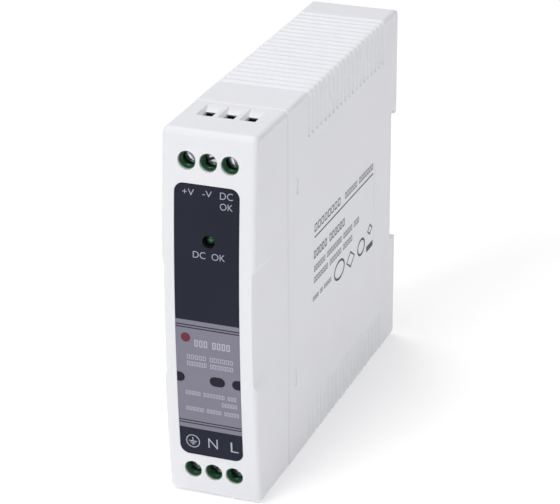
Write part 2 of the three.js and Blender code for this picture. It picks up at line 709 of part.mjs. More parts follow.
// A round can on its side, its crimp groove and leads at the lower end.
function bulkCapacitor() {
  const { depth, radius, low, high, pitch, groove } = BULK;
  const x = STAND + radius;
  const can = bar('z', radius, low, high, x, at(depth), 24);
  const waist = bar('z', radius + 1, low + groove.from, low + groove.to, x, at(depth), 24)
    .subtract(bar('z', radius - groove.depth, low, low + 2 * groove.to, x, at(depth), 24));
  const half = LEAD / 2;
  const ends = [-pitch, pitch].flatMap((offset) => {
    const y = at(depth + offset);
    return [
      block(x - half, x + half, y - half, y + half, low - 2, low + BITE),
      lead(depth + offset, low - 2 + half, x + half - BITE),
    ];
  });
  return join([can.subtract(waist), ...ends]);
}

// A power device standing against its heatsink, tab uppermost.
function powerDevice(depth, z) {
  const { foot, rise, thickness, half, pitch } = DEVICE;
  return join([
    block(STAND + foot, STAND + rise, at(depth), at(depth + thickness), z - half, z + half),
    ...[-pitch, 0, pitch].map((offset) => lead(depth + 2, z + offset, STAND + foot)),
  ]);
}

function heatsink(depth, z) {
  const { rise, thickness, half, lip, pitch } = HEATSINK;
  const [low, high] = [z - half, z + half];
  const plate = block(STAND, STAND + rise, at(depth), at(depth + thickness), low, high);
  const flange = block(STAND + rise - lip.thickness, STAND + rise,
    at(depth - lip.reach), at(depth + thickness), low, high);
  const pins = [-pitch, pitch].map((offset) => lead(depth + thickness / 2, z + offset));
  return join([plate, flange, ...pins]);
}

function transformerCore() {
  const { depth, z, x, leg, half, reach, back } = CORE;
  const span = (margin) => [at(depth - reach + margin), at(depth + reach - margin)];
  const outer = block(x - leg, x + leg, ...span(0), z - half, z + half);
  const windows = [[leg, half - back], [-half + back, -leg]].map(([a, b]) =>
    block(x - leg - 1, x + leg + 1, ...span(back), z + a, z + b));
  return cut(outer, windows);
}

// A square tube round the core's middle leg.
function squareTube(inner, outer, y0, y1) {
  const { x, z } = CORE;
  const prism = (size, from, to) => block(x - size, x + size, from, to, z - size, z + size);
  return prism(outer, y0, y1).subtract(prism(inner, y0 - 1, y1 + 1));
}

function transformerBobbin() {
  const { depth, z, x, leg, reach, back } = CORE;
  const { wall, flange, flangeThickness, pitch } = BOBBIN;
  const bore = leg + GAP;
  const front = depth - reach + back + GAP;
  const rear = depth + reach - back - GAP;
  const pins = [front + flangeThickness / 2, rear - flangeThickness / 2].flatMap((pinDepth) =>
    [-pitch, 0, pitch].map((offset) => lead(pinDepth, z + offset, x - flange)));
  return join([
    squareTube(bore, bore + wall, at(front), at(rear)),
    squareTube(bore, flange, at(front), at(front + flangeThickness)),
    squareTube(bore, flange, at(rear - flangeThickness), at(rear)),
    ...pins,
  ]);
}

function transformerWinding() {
  const { depth, leg, reach, back } = CORE;
  const { wall, flangeThickness, winding } = BOBBIN;
  const inner = leg + GAP + wall + GAP;
  const margin = back + GAP + flangeThickness + GAP;
  return squareTube(inner, inner + winding, at(depth - reach + margin), at(depth + reach - margin));
}

function standingCan({ radius, rise, depth, z }) {
  const pinch = 0.4;
  const waist = STAND + 2;
  const pitch = 1.75;
  const outline = [
    [0, STAND],
    [radius, STAND],
    [radius, waist - pinch],
    [radius - pinch, waist],
    [radius, waist + pinch],
    [radius, STAND + rise - pinch],
    [radius - pinch, STAND + rise],
    [0, STAND + rise],
  ];
  return join([turned(outline, at(depth), z), lead(depth, z - pitch), lead(depth, z + pitch)]);
}

function outputInductor() {
  const { depth, z, radius, waist, cheek, rise, pitch } = DRUM;
  const outline = [
    [0, STAND],
    [radius, STAND],
    [radius, STAND + cheek],
    [waist, STAND + cheek],
    [waist, STAND + rise - cheek],
    [radius, STAND + rise - cheek],
    [radius, STAND + rise],
    [0, STAND + rise],
  ];
  return join([turned(outline, at(depth), z), lead(depth, z - pitch), lead(depth, z + pitch)]);
}

function snubberResistor() {
  const { front, back, z, radius, wire, tail } = SNUBBER;
  const x = STAND + radius + GAP;
  const ends = [front - tail + wire, back + tail - wire];
  return join([
    bar('y', radius, at(front), at(back), x, z),
    bar('y', wire, at(front - tail), at(back + tail), x, z, 8),
    ...ends.map((depth) => lead(depth, z, x)),
  ]);
}

// Assembly

const supply = new THREE.Group();

function add(name, solid, material, parent = supply) {
  const mesh = new THREE.Mesh(toGeometry(solid), material);
  mesh.name = name;
  parent.add(mesh);
  return mesh;
}

add('rear_case', rearCase(), finish.shell);
add('front_cover', frontCover(), finish.shell);
add('front_panel', frontPanel(), finish.panel);
add('rail_latch', railLatch(), finish.black);
add('latch_spring', latchSpring(), finish.steel);

// Both terminal blocks hang from the mid-height line; the input block is the output block turned over.
for (const [side, turn] of [['output', 0], ['input', Math.PI]]) {
  const group = new THREE.Group();
  group.position.z = MID_Z;
  group.rotation.y = turn;
  supply.add(group);
  add(`${side}_terminal_body`, terminalBody(), finish.terminal, group);
  POLES.forEach((pole, index) => {
    const fittings = [
      [`${side}_screw_${index + 1}`, terminalScrew(), finish.steel],
      [`${side}_cage_${index + 1}`, wireCage(), finish.steel],
      [`${side}_contact_${index + 1}`, contactBar(), finish.brass],
    ];
    for (const [name, solid, material] of fittings) {
      add(name, solid, material, group).position.x = pole * POLE_PITCH * (turn ? -1 : 1);
    }
  });
}

add('status_lamp', statusLamp(), finish.lamp);
add('lamp_spacer', lampSpacer(), finish.black);
add('front_board', frontBoard(), finish.board);
add('board_link', boardLink(), finish.black);
add('insulating_sheet', insulatingSheet(), finish.sheet);

add('input_fuse', fuse(), finish.black);
add('varistor', disc({ radius: 5, thickness: 4, depth: 34, z: 14 }), finish.blue);
add('inrush_thermistor', disc({ radius: 4.5, thickness: 4, depth: 41, z: 14 }), finish.green);
add('x_capacitor', boxPart({
  depth: 52, z: 11, length: 13, height: 7, rise: 12, pins: [[-5, 0], [5, 0]],
}), finish.yellow);
add('choke_core', chokeCore(), finish.ferrite);
add('choke_winding_line', chokeWinding(1), finish.copper);
add('choke_winding_neutral', chokeWinding(-1), finish.copper);
add('bridge_rectifier', boxPart({
  depth: 84, z: 14, length: 8.5, height: 6.4, rise: 3.4, pins: fourPins(3.5, 2.54),
}), finish.black);
add('bulk_capacitor', bulkCapacitor(), finish.sleeve);
add('power_switch', powerDevice(PRIMARY.sink - HEATSINK_GAP - DEVICE.thickness, PRIMARY.z), finish.black);
add('primary_heatsink', heatsink(PRIMARY.sink, PRIMARY.z), finish.aluminium);
add('controller_chip', boxPart({
  depth: 66, z: 27, length: 6.5, height: 9.4, rise: 3.4, pins: fourPins(2.5, 3.8),
}), finish.black);
add('transformer_core', transformerCore(), finish.ferrite);
add('transformer_bobbin', transformerBobbin(), finish.black);
add('transformer_winding', transformerWinding(), finish.yellow);
add('y_capacitor', disc({ radius: 4, thickness: 3.5, depth: 68, z: 58 }), finish.blue);
add('optocoupler', boxPart({
  depth: 32, z: 50, length: 6.5, height: 4.8, rise: 3.6, pins: fourPins(2.5, 1.27),
}), finish.nylon);
add('output_diode', powerDevice(SECONDARY.sink - HEATSINK_GAP - DEVICE.thickness, SECONDARY.z), finish.black);
add('output_heatsink', heatsink(SECONDARY.sink, SECONDARY.z), finish.aluminium);
add('output_capacitor_1', standingCan({ radius: 5, rise: 14, depth: 60, z: 72 }), finish.sleeve);
add('output_capacitor_2', standingCan({ radius: 5, rise: 14, depth: 72, z: 75 }), finish.sleeve);
add('output_inductor', outputInductor(), finish.ferrite);
add('signal_relay', boxPart({
  depth: 33, z: 79, length: 14, height: 7.5, rise: 10, pins: fourPins(6, 2.54),
}), finish.nylon);
add('snubber_resistor', snubberResistor(), finish.green);
add('main_board', mainBoard(), finish.board);

export default supply;
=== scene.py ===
"""DIN rail power supply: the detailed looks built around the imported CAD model.

Lengths are in millimetres while a piece is being made, and its mesh is scaled to metres when it is
placed. Depths are measured back from the foremost point of the front, and at(depth) gives their Y.
"""

import json
import math

import bmesh
import bpy
from mathutils import Matrix, Vector


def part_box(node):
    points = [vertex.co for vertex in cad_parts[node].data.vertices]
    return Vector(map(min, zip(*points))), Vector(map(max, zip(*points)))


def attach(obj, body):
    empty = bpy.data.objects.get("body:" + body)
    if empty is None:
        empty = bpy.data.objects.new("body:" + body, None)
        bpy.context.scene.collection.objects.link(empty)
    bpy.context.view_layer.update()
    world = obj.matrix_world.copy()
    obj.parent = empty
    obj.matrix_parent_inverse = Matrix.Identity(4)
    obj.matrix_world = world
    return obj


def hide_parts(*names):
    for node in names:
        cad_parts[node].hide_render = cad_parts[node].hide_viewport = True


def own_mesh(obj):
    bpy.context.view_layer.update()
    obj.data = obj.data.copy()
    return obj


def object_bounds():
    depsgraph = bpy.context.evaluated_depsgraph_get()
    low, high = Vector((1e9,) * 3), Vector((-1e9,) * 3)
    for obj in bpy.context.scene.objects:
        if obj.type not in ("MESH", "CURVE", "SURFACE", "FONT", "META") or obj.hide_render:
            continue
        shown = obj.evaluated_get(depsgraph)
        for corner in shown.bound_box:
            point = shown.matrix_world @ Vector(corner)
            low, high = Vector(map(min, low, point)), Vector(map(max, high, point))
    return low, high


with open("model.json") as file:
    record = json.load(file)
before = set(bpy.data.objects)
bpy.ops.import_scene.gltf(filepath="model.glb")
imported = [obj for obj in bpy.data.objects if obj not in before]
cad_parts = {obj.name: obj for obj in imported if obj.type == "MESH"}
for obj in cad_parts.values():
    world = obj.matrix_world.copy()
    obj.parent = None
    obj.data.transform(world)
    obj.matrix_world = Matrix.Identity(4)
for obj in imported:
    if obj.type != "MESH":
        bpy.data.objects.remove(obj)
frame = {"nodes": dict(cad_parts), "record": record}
CAD_BOX = [list(corner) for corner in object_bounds()]

MM = 0.001
INK = 0.012  # thickness of one coat of printed ink


def node_box(name):
    """The lowest and highest corner of a CAD node, in millimetres."""
    low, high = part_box(name)
    return Vector(low) / MM, Vector(high) / MM


# ---------------------------------------------------------------- driving dimensions

LOW = Vector(CAD_BOX[0]) / MM
HIGH = Vector(CAD_BOX[1]) / MM
HALF = HIGH.x
HEIGHT = HIGH.z
DEPTH = HIGH.y - LOW.y
MID_Z = HEIGHT / 2

SEAM = node_box("rear_case")[0].y - LOW.y
SEAM_GAP = 0.3
COVER_WALL = 1.5
CASE_WALL = 1.7
CAVITY_BACK = 93.9
PAST = 1.0  # how far a cutting tool reaches beyond the face that it opens
FRONT_RISE = 2.45
FRONT_RADIUS = (MID_Z**2 + FRONT_RISE**2) / (2 * FRONT_RISE)
FRONT_CORNER = 1.8
COVER_EDGE = 1.3
CASE_EDGE = 1.0
REAR_CORNER = 2.0
RIM_CHAMFER = 0.75

GROOVE_COUNT = 20
GROOVE_PITCH = 2.795
GROOVE_FIRST = 35.2
GROOVE_FLOOR = 0.5
GROOVE_MOUTH = 1.75
GROOVE_DEPTH = 0.55
GROOVE_LEG = 11.2
GROOVE_CORNER = 0.8

SEAT_DEPTH = 96.06
SEAT_TOP = 62.5
SEAT_FOOT = 28.4
HOOK_TOP = 63.8
HOOK_THICKNESS = 1.7
SNAPS = ((66.5, 72.5), (18.5, 24.9))  # where the four snap tongues stand, in height

POLE_PITCH = 5.08
POLES = (-1, 0, 1)
SCREW_RISE = 38.2
HOLE_RADIUS = 2.15
HEAD_RADIUS = 1.8
SIDES = (("output", 1), ("input", -1))

PANEL_X = -0.19
PANEL_Z = 44.55
PANEL_WIDTH = 15.5
PANEL_HEIGHT = 67.1
PANEL_CORNER = 2.2
FILM_INSET = 0.03
FILM_THICKNESS = 0.3
LAMP_X = 0.3
LAMP_Z = 65.1
LAMP_HOLE = 1.65


def at(depth):
    return depth + LOW.y


# ---------------------------------------------------------------- shapes


def mesh_object(name, points, faces):
    mesh = bpy.data.meshes.new(name)
    mesh.from_pydata([tuple(p) for p in points], [], faces)
    edit = bmesh.new()
    edit.from_mesh(mesh)
    bmesh.ops.remove_doubles(edit, verts=edit.verts, dist=1e-5)
    bmesh.ops.recalc_face_normals(edit, faces=edit.faces)
    edit.to_mesh(mesh)
    edit.free()
    obj = bpy.data.objects.new(name, mesh)
    bpy.context.scene.collection.objects.link(obj)
    return obj


def loft(name, rings):
    """A closed body through rings that all have the same number of points."""
    size = len(rings[0])
    points = [p for ring in rings for p in ring]
    faces = [tuple(range(size)), tuple(range(len(points) - size, len(points)))]
    for r in range(len(rings) - 1):
        for i in range(size):
            j = (i + 1) % size
            a, b = r * size, (r + 1) * size
            faces.append((a + i, a + j, b + j, b + i))
    return mesh_object(name, points, faces)


def prism(name, outline, start, end, axis):
    """An outline drawn out along x from [y, z], along y from [x, z] or along z from [x, y]."""
    place = {
        "x": lambda a, b, t: (t, a, b),
        "y": lambda a, b, t: (a, t, b),
        "z": lambda a, b, t: (a, b, t),
    }[axis]
    return loft(name, [[place(a, b, t) for a, b in outline] for t in (start, end)])


def block(x0, x1, y0, y1, z0, z1):
    return prism("block", [(x0, z0), (x1, z0), (x1, z1), (x0, z1)], y0, y1, "y")


def arc(cx, cy, radius, start, end, steps):
    angles = [math.radians(start + (end - start) * i / steps) for i in range(steps + 1)]
    return [(cx + radius * math.cos(a), cy + radius * math.sin(a)) for a in angles]


def rounded_rectangle(cx, cy, width, height, radius, steps=6):
    w, h = width / 2 - radius, height / 2 - radius
    return (
        arc(cx + w, cy - h, radius, -90, 0, steps)
        + arc(cx + w, cy + h, radius, 0, 90, steps)
        + arc(cx - w, cy + h, radius, 90, 180, steps)
        + arc(cx - w, cy - h, radius, 180, 270, steps)
    )


def turned_y(name, outline, x, z, segments):
    """A turned body about a line along Y: the outline lists (radius, y), and both ends are capped."""
    rings = []
    for radius, y in outline:
        angles = [2 * math.pi * i / segments for i in range(segments)]
        rings.append([(x + radius * math.cos(a), y, z + radius * math.sin(a)) for a in angles])
    return loft(name, rings)


def settle(obj):
    """Turns what the modifiers make into the object's own mesh."""
    graph = bpy.context.evaluated_depsgraph_get()
    mesh = bpy.data.meshes.new_from_object(obj.evaluated_get(graph))
    old = obj.data
    obj.modifiers.clear()
    obj.data = mesh
    bpy.data.meshes.remove(old)
    return obj


def combine(obj, others, operation):
    group = bpy.data.collections.new("tools")
    bpy.context.scene.collection.children.link(group)
    for other in others:
        bpy.context.scene.collection.objects.unlink(other)
        group.objects.link(other)
    modifier = obj.modifiers.new("combine", "BOOLEAN")
    modifier.operation = operation
    modifier.solver = "EXACT"
    modifier.operand_type = "COLLECTION"
    modifier.collection = group
    modifier.use_self = operation == "UNION"
    settle(obj)
    for other in others:
        bpy.data.meshes.remove(other.data)
    bpy.data.collections.remove(group)
    return obj


def carve(obj, tools):
    return combine(obj, tools, "DIFFERENCE")


def flatten(obj, degrees):
    """Joins the faces that lie in one plane, to within that angle."""
    edit = bmesh.new()
    edit.from_mesh(obj.data)
    bmesh.ops.remove_doubles(edit, verts=edit.verts, dist=1e-4)
    bmesh.ops.dissolve_limit(
        edit, angle_limit=math.radians(degrees), verts=edit.verts, edges=edit.edges
    )
    edit.to_mesh(obj.data)
    edit.free()
    return obj


def soften(obj, width, segments, degrees):
    modifier = obj.modifiers.new("soften", "BEVEL")
    modifier.width = width
    modifier.segments = segments
    modifier.limit_method = "ANGLE"
    modifier.angle_limit = math.radians(degrees)
    modifier.miter_outer = "MITER_ARC"
    return settle(obj)


def smooth(obj, degrees):
    for polygon in obj.data.polygons:
        polygon.use_smooth = True
    obj.data.set_sharp_from_angle(angle=math.radians(degrees))
    modifier = obj.modifiers.new("normals", "WEIGHTED_NORMAL")
    modifier.keep_sharp = True
    return obj


def place(obj, name, material, slot, body="root", replaces=()):
    """Scales a finished piece to metres, gives it its finish, ties it to its body and hides the CAD
    nodes that it replaces.
    """
    obj.name = name
    obj.data.name = name
    obj.data.transform(Matrix.Scale(MM, 4))
    obj.data.materials.clear()
    obj.data.materials.append(material)
    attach(obj, body)
    if replaces:
        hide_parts(*replaces)
    return obj


def moved(source, name, matrix):
    """A copy of a piece in millimetres, set elsewhere."""
    obj = source.copy()
    obj.data = source.data.copy()
    obj.name = name
    obj.data.transform(matrix)
    bpy.context.scene.collection.objects.link(obj)
    return obj


# ---------------------------------------------------------------- materials


def shader(name, roughness, metallic=0.0):
    """A new material, and the nodes that every finish here starts from."""
    material = bpy.data.materials.new(name)
    material.use_nodes = True
    nodes = material.node_tree.nodes
    principled = nodes["Principled BSDF"]
    principled.inputs["Roughness"].default_value = roughness
    principled.inputs["Metallic"].default_value = metallic
    coordinates = nodes.new("ShaderNodeTexCoord")
    return material, principled, coordinates.outputs["Object"]


def noise(material, coordinates, scale, detail=3, stretch=None):
    nodes, links = material.node_tree.nodes, material.node_tree.links
    if stretch:
        mapping = nodes.new("ShaderNodeMapping")
        mapping.inputs["Scale"].default_value = stretch
        links.new(coordinates, mapping.inputs["Vector"])
        coordinates = mapping.outputs["Vector"]
    texture = nodes.new("ShaderNodeTexNoise")
    texture.inputs["Scale"].default_value = scale
    texture.inputs["Detail"].default_value = detail
    links.new(coordinates, texture.inputs["Vector"])
    return texture.outputs["Fac"]


def spread(material, value, low, high, socket):
    """Lets a texture move a socket between two numbers."""
    nodes, links = material.node_tree.nodes, material.node_tree.links
    ramp = nodes.new("ShaderNodeMapRange")
    ramp.inputs["From Min"].default_value = 0.3
    ramp.inputs["From Max"].default_value = 0.7
    ramp.inputs["To Min"].default_value = low
    ramp.inputs["To Max"].default_value = high
    links.new(value, ramp.inputs["Value"])
    links.new(ramp.outputs["Result"], socket)


def tint(material, value, dark, light, socket):
    """Lets a texture move a colour between two tones."""
    nodes, links = material.node_tree.nodes, material.node_tree.links
    ramp = nodes.new("ShaderNodeValToRGB")
    ramp.color_ramp.elements[0].position = 0.3
    ramp.color_ramp.elements[1].position = 0.7
    ramp.color_ramp.elements[0].color = (*dark, 1)
    ramp.color_ramp.elements[1].color = (*light, 1)
    links.new(value, ramp.inputs["Fac"])
    links.new(ramp.outputs["Color"], socket)


def grain(material, value, strength, distance, principled):
    nodes, links = material.node_tree.nodes, material.node_tree.links
    bump = nodes.new("ShaderNodeBump")
    bump.inputs["Strength"].default_value = strength
    bump.inputs["Distance"].default_value = distance
    links.new(value, bump.inputs["Height"])
    links.new(bump.outputs["Normal"], principled.inputs["Normal"])


def shade(colour, factor):
    return tuple(min(1.0, channel * factor) for channel in colour)


def moulded(name, colour, roughness, variation=0.03, grain_size=0.35, depth=0.006, coat=0, gloss=0.5):
    """Moulded plastic: a fine spark-eroded grain over a slow drift in tone."""
    material, principled, coordinates = shader(name, roughness)
    principled.inputs["Specular IOR Level"].default_value = gloss
    principled.inputs["Coat Weight"].default_value = coat
    principled.inputs["Coat Roughness"].default_value = 0.18
    drift = noise(material, coordinates, 60)
    tint(material, drift, shade(colour, 1 - variation), shade(colour, 1 + variation),
         principled.inputs["Base Color"])
    fine = noise(material, coordinates, 1 / (grain_size * MM), detail=4)
    spread(material, fine, roughness - 0.05, roughness + 0.05, principled.inputs["Roughness"])
    grain(material, fine, 0.35, depth * MM, principled)
    return material


def metal(name, colour, roughness, stretch=(1, 1, 1), scale=900):
    """Plated or rolled metal with fine drawn marks and a little unevenness."""
    material, principled, coordinates = shader(name, roughness, metallic=1.0)
    marks = noise(material, coordinates, scale, detail=5, stretch=stretch)
    tint(material, marks, shade(colour, 0.9), shade(colour, 1.06), principled.inputs["Base Color"])
    spread(material, marks, roughness - 0.07, roughness + 0.09, principled.inputs["Roughness"])
    grain(material, marks, 0.3, 0.003 * MM, principled)
    return material


def wound(name, colour, pitch, axis):
    """Enamelled wire in close turns, with painted shade darkening the valleys between them."""
    material, principled, coordinates = shader(name, 0.3, metallic=0.9)
    nodes, links = material.node_tree.nodes, material.node_tree.links
    wave = nodes.new("ShaderNodeTexWave")
    wave.bands_direction = axis
    wave.inputs["Scale"].default_value = 0.31 / (pitch * MM)
    wave.inputs["Distortion"].default_value = 0.4
    links.new(coordinates, wave.inputs["Vector"])
    # Painted shade: the colour falls to 0.45 of the copper's in the wave's low bands, where the bump
    # puts the valleys between turns.
    tint(material, wave.outputs["Fac"], shade(colour, 0.45), colour, principled.inputs["Base Color"])
    grain(material, wave.outputs["Fac"], 0.9, 0.12 * MM, principled)
    return material


def film_finish(name, colour, variation):
    """The matt film of the front panel."""
    return moulded(name, colour, 0.5, variation, grain_size=0.2, depth=0.002, gloss=0.1)


def ink_finish(name, colour, gloss, variation=0.05):
    return moulded(name, colour, 0.5, variation, grain_size=0.15, depth=0.001, gloss=gloss)


SHELL = moulded("shell_white", (0.80, 0.803, 0.838), 0.48, variation=0.008, grain_size=0.3, depth=0.003)
SHELL_BODY = SHELL.node_tree.nodes["Principled BSDF"]
SHELL_BODY.inputs["Subsurface Weight"].default_value = 0.3
SHELL_BODY.inputs["Subsurface Radius"].default_value = (1.0, 1.0, 1.0)
SHELL_BODY.inputs["Subsurface Scale"].default_value = 0.7 * MM
FILM = film_finish("film_navy", (0.018, 0.020, 0.034), 0.06)
FILM_GREY = film_finish("film_grey", (0.222, 0.213, 0.272), 0.03)
INK_LIGHT = ink_finish("ink_light", (0.45, 0.46, 0.55), 0.2)
INK_PALE = ink_finish("ink_pale", (0.46, 0.45, 0.53), 0.2)
INK_RED = ink_finish("ink_red", (0.14, 0.03, 0.05), 0.2)
INK_DARK = ink_finish("ink_dark", (0.018, 0.019, 0.031), 0.1)
INK_SIDE = ink_finish("ink_side", (0.022, 0.022, 0.026), 0.5, variation=0.06)
TERMINAL = moulded("terminal_green", (0.022, 0.115, 0.048), 0.36, variation=0.1, grain_size=0.4)
BLACK = moulded("black_nylon", (0.012, 0.0125, 0.014), 0.42, variation=0.12, grain_size=0.4)
LENS = moulded("lamp_green", (0.006, 0.07, 0.022), 0.14, variation=0.08, depth=0.0, coat=0.6)
STEEL = metal("plated_steel", (0.72, 0.735, 0.76), 0.24)
SCREW_STEEL = metal("screw_steel", (0.86, 0.87, 0.93), 0.2)
SPRING_STEEL = metal("spring_steel", (0.55, 0.56, 0.58), 0.22)
TINNED = metal("tinned_brass", (0.74, 0.61, 0.38), 0.3)
ROLLED = metal("rolled_aluminium", (0.68, 0.69, 0.70), 0.36, stretch=(1, 1, 14), scale=300)
LAMINATE = moulded("board_green", (0.024, 0.105, 0.042), 0.3, variation=0.12, grain_size=0.6)
SLEEVE = moulded("can_sleeve", (0.012, 0.021, 0.06), 0.28, variation=0.1, depth=0.002, coat=0.3)
BLUE = moulded("epoxy_blue", (0.03, 0.12, 0.42), 0.3, variation=0.1, depth=0.01, coat=0.3)
GREEN = moulded("epoxy_green", (0.03, 0.14, 0.05), 0.35, variation=0.1, depth=0.01, coat=0.2)
YELLOW = moulded("film_yellow", (0.66, 0.47, 0.06), 0.32, variation=0.06)
NYLON = moulded("natural_nylon", (0.69, 0.65, 0.55), 0.45, variation=0.04)
SHEET = moulded("insulating_film", (0.76, 0.72, 0.56), 0.4, variation=0.05, depth=0.002)
FERRITE = moulded("ferrite", (0.022, 0.022, 0.024), 0.7, variation=0.25, grain_size=0.5, depth=0.02)
COPPER = wound("enamelled_copper", (0.62, 0.22, 0.075), 0.5, "Y")


# ---------------------------------------------------------------- the curved front


def front_depth(z, inset=0.0):
    return FRONT_RADIUS - math.sqrt((FRONT_RADIUS - inset) ** 2 - (z - MID_Z) ** 2)


def front_curve(low, high, inset, steps):
    heights = [low + (high - low) * i / steps for i in range(steps + 1)]
    return [(at(front_depth(z, inset)), z) for z in heights]


def cover_profile(inset):
    """The cover's side outline, drawn in by inset: flat rear, tight corners and the curved front."""
    across = MID_Z - FRONT_CORNER
    corner_depth = FRONT_RADIUS - math.sqrt((FRONT_RADIUS - FRONT_CORNER) ** 2 - across**2)
    turn = math.degrees(math.asin(across / (FRONT_RADIUS - FRONT_CORNER)))
    radius = FRONT_CORNER - inset
    top = arc(at(corner_depth), HEIGHT - FRONT_CORNER, radius, 90, 180 - turn, 6)
    bottom = [(y, HEIGHT - z) for y, z in reversed(top)]
    start, end = top[-1][1], bottom[0][1]
    rear = at(SEAM - SEAM_GAP)
    return (
        [(rear, HEIGHT - inset)]
        + top
        + front_curve(start, end, inset, 40)[1:-1]
        + bottom
        + [(rear, inset)]
    )


def cover_body():
    turns = [math.radians(90 * i / 6) for i in range(7)]
    right = [
        (HALF - COVER_EDGE + COVER_EDGE * math.sin(turn), COVER_EDGE * (1 - math.cos(turn)))
        for turn in turns
    ]
    sections = [(-x, inset) for x, inset in reversed(right)] + right
    return loft("cover", [[(x, y, z) for y, z in cover_profile(inset)] for x, inset in sections])


def front_slab(inset0, inset1, margin):
    """A curved slab that follows the front, with the panel's outline drawn in by margin."""
    steps = 40
    low = PANEL_Z - PANEL_HEIGHT / 2 - 1
    high = PANEL_Z + PANEL_HEIGHT / 2 + 1
    outline = front_curve(high, low, inset0, steps) + front_curve(low, high, inset1, steps)
    slab = prism("slab", outline, -HALF, HALF, "x")
    size = (PANEL_WIDTH - 2 * margin, PANEL_HEIGHT - 2 * margin, PANEL_CORNER - margin)
    window = prism("window", rounded_rectangle(PANEL_X, PANEL_Z, *size, 10), at(-3), at(7), "y")
    return combine(slab, [window], "INTERSECT")


def round_hole(x, z, radius):
    """What drills the front: from ahead of it to well inside."""
    return turned_y("hole", [(radius, at(-3)), (radius, at(6))], x, z, 40)


def finger_hollow(side):
    """What cuts the shallow hollow in one side of the cover. It fades out towards the rear."""
    low, high, ramp, sunk, reach = 29.0, 61.0, 2.6, 0.8, 18.0
    proud, inner = side * (HALF + PAST), side * (HALF - sunk)
    front = [(proud, at(-1), low - 2), (inner, at(-1), low + ramp),
             (inner, at(-1), high - ramp), (proud, at(-1), high + 2)]
    rear = [(proud, at(reach), low - 1), (side * HALF, at(reach), low + ramp),
            (side * HALF, at(reach), high - ramp), (proud, at(reach), high + 1)]
    return loft("hollow", [front, rear])


def wire_mouth(x, side):
    """A wire entry in the top or bottom wall: a slot between sloping walls, with a ramp behind it.

    Each level lists half its width, the depths of its front and back edges, and its rise from the wall.
    """
    edge = MID_Z + side * MID_Z
    levels = (
        (1.3, 12.5, 19.5, -3.0), (1.3, 12.5, 16.6, -1.0), (1.3, 12.5, 16.45, -0.8),
        (1.95, 12.1, 19.8, 0.0), (1.95, 12.1, 19.8, 1.0),
    )
    rings = []
    for half, start, end, rise in levels:
        z = edge + side * rise
        rings.append([(x - half, at(start), z), (x + half, at(start), z),
                      (x + half, at(end), z), (x - half, at(end), z)])
    return loft("mouth", rings)


def snap_tongue(side, low, high):
    """A tongue of the cover that reaches into the rear case: its root, its blade and its barb."""
    inner = side * 8.2
    root = sorted((inner, side * 9.9))
    blade = sorted((inner, side * 9.2))
    barb = sorted((inner, side * 9.85))
    return [
        block(*root, at(14), at(SEAM - SEAM_GAP - 0.08), low, high),
        block(*blade, at(18), at(29.5), low, high),
        block(*barb, at(25.8), at(27.8), low + 1, high - 1),
    ]


def front_cover():
    cavity_rear = at(SEAM + PAST)
    low, high = COVER_WALL, HEIGHT - COVER_WALL
    hollow = [(cavity_rear, low), (cavity_rear, high)] + front_curve(high, low, COVER_WALL, 24)
    tools = [
        prism("cavity", hollow, -HALF + COVER_WALL, HALF - COVER_WALL, "x"),
        front_slab(-1.0, FILM_INSET + FILM_THICKNESS + 0.02, 0.0),
        finger_hollow(1),
        finger_hollow(-1),
        round_hole(LAMP_X, LAMP_Z, LAMP_HOLE),
    ]
    for pole in POLES:
        for side in (1, -1):
            x = pole * POLE_PITCH
            tools.append(round_hole(x, MID_Z + side * SCREW_RISE, HOLE_RADIUS))
            tools.append(wire_mouth(x, side))
    cover = carve(cover_body(), tools)
    tongues = [piece for span in SNAPS for side in (1, -1) for piece in snap_tongue(side, *span)]
    combine(cover, tongues, "UNION")
    flatten(cover, 0.03)
    smooth(soften(cover, 0.14, 2, 28), 30)
    return place(cover, "cover_shell", SHELL, "shell_plastic", replaces=["front_cover"])


front_cover()


# ---------------------------------------------------------------- front panel and its print


def front_film():
    film = front_slab(FILM_INSET, FILM_INSET + FILM_THICKNESS, 0.04)
    carve(film, [round_hole(LAMP_X, LAMP_Z, LAMP_HOLE)])
    smooth(soften(flatten(film, 0.03), 0.04, 2, 50), 30)
    return place(film, "panel_film", FILM, "panel_film", replaces=["front_panel"])


def on_film(x, z, layer):
    """A point on the film's face, raised by a number of coats of ink."""
    return (x, at(front_depth(z, FILM_INSET - layer * INK)), z)


def printed(name, outline, material, layer=1):
    """A flat shape of ink on the film, from an outline of [x, z]."""
    piece = loft(name, [[on_film(x, z, level) for x, z in outline] for level in (layer - 1.5, layer)])
    return place(piece, name, material, "panel_film")


def printed_band(name, x0, x1, z0, z1, material, layer=1):
    """A tall rectangle of ink, cut into strips so that it follows the curve."""
    strips = max(1, round((z1 - z0) / 1.2))
    heights = [z0 + (z1 - z0) * i / strips for i in range(strips + 1)]
    rings = []
    for z in heights:
        corners = ((x0, layer - 1.5), (x1, layer - 1.5), (x1, layer), (x0, layer))
        rings.append([on_film(x, z, level) for x, level in corners])
    return place(loft(name, rings), name, material, "panel_film")


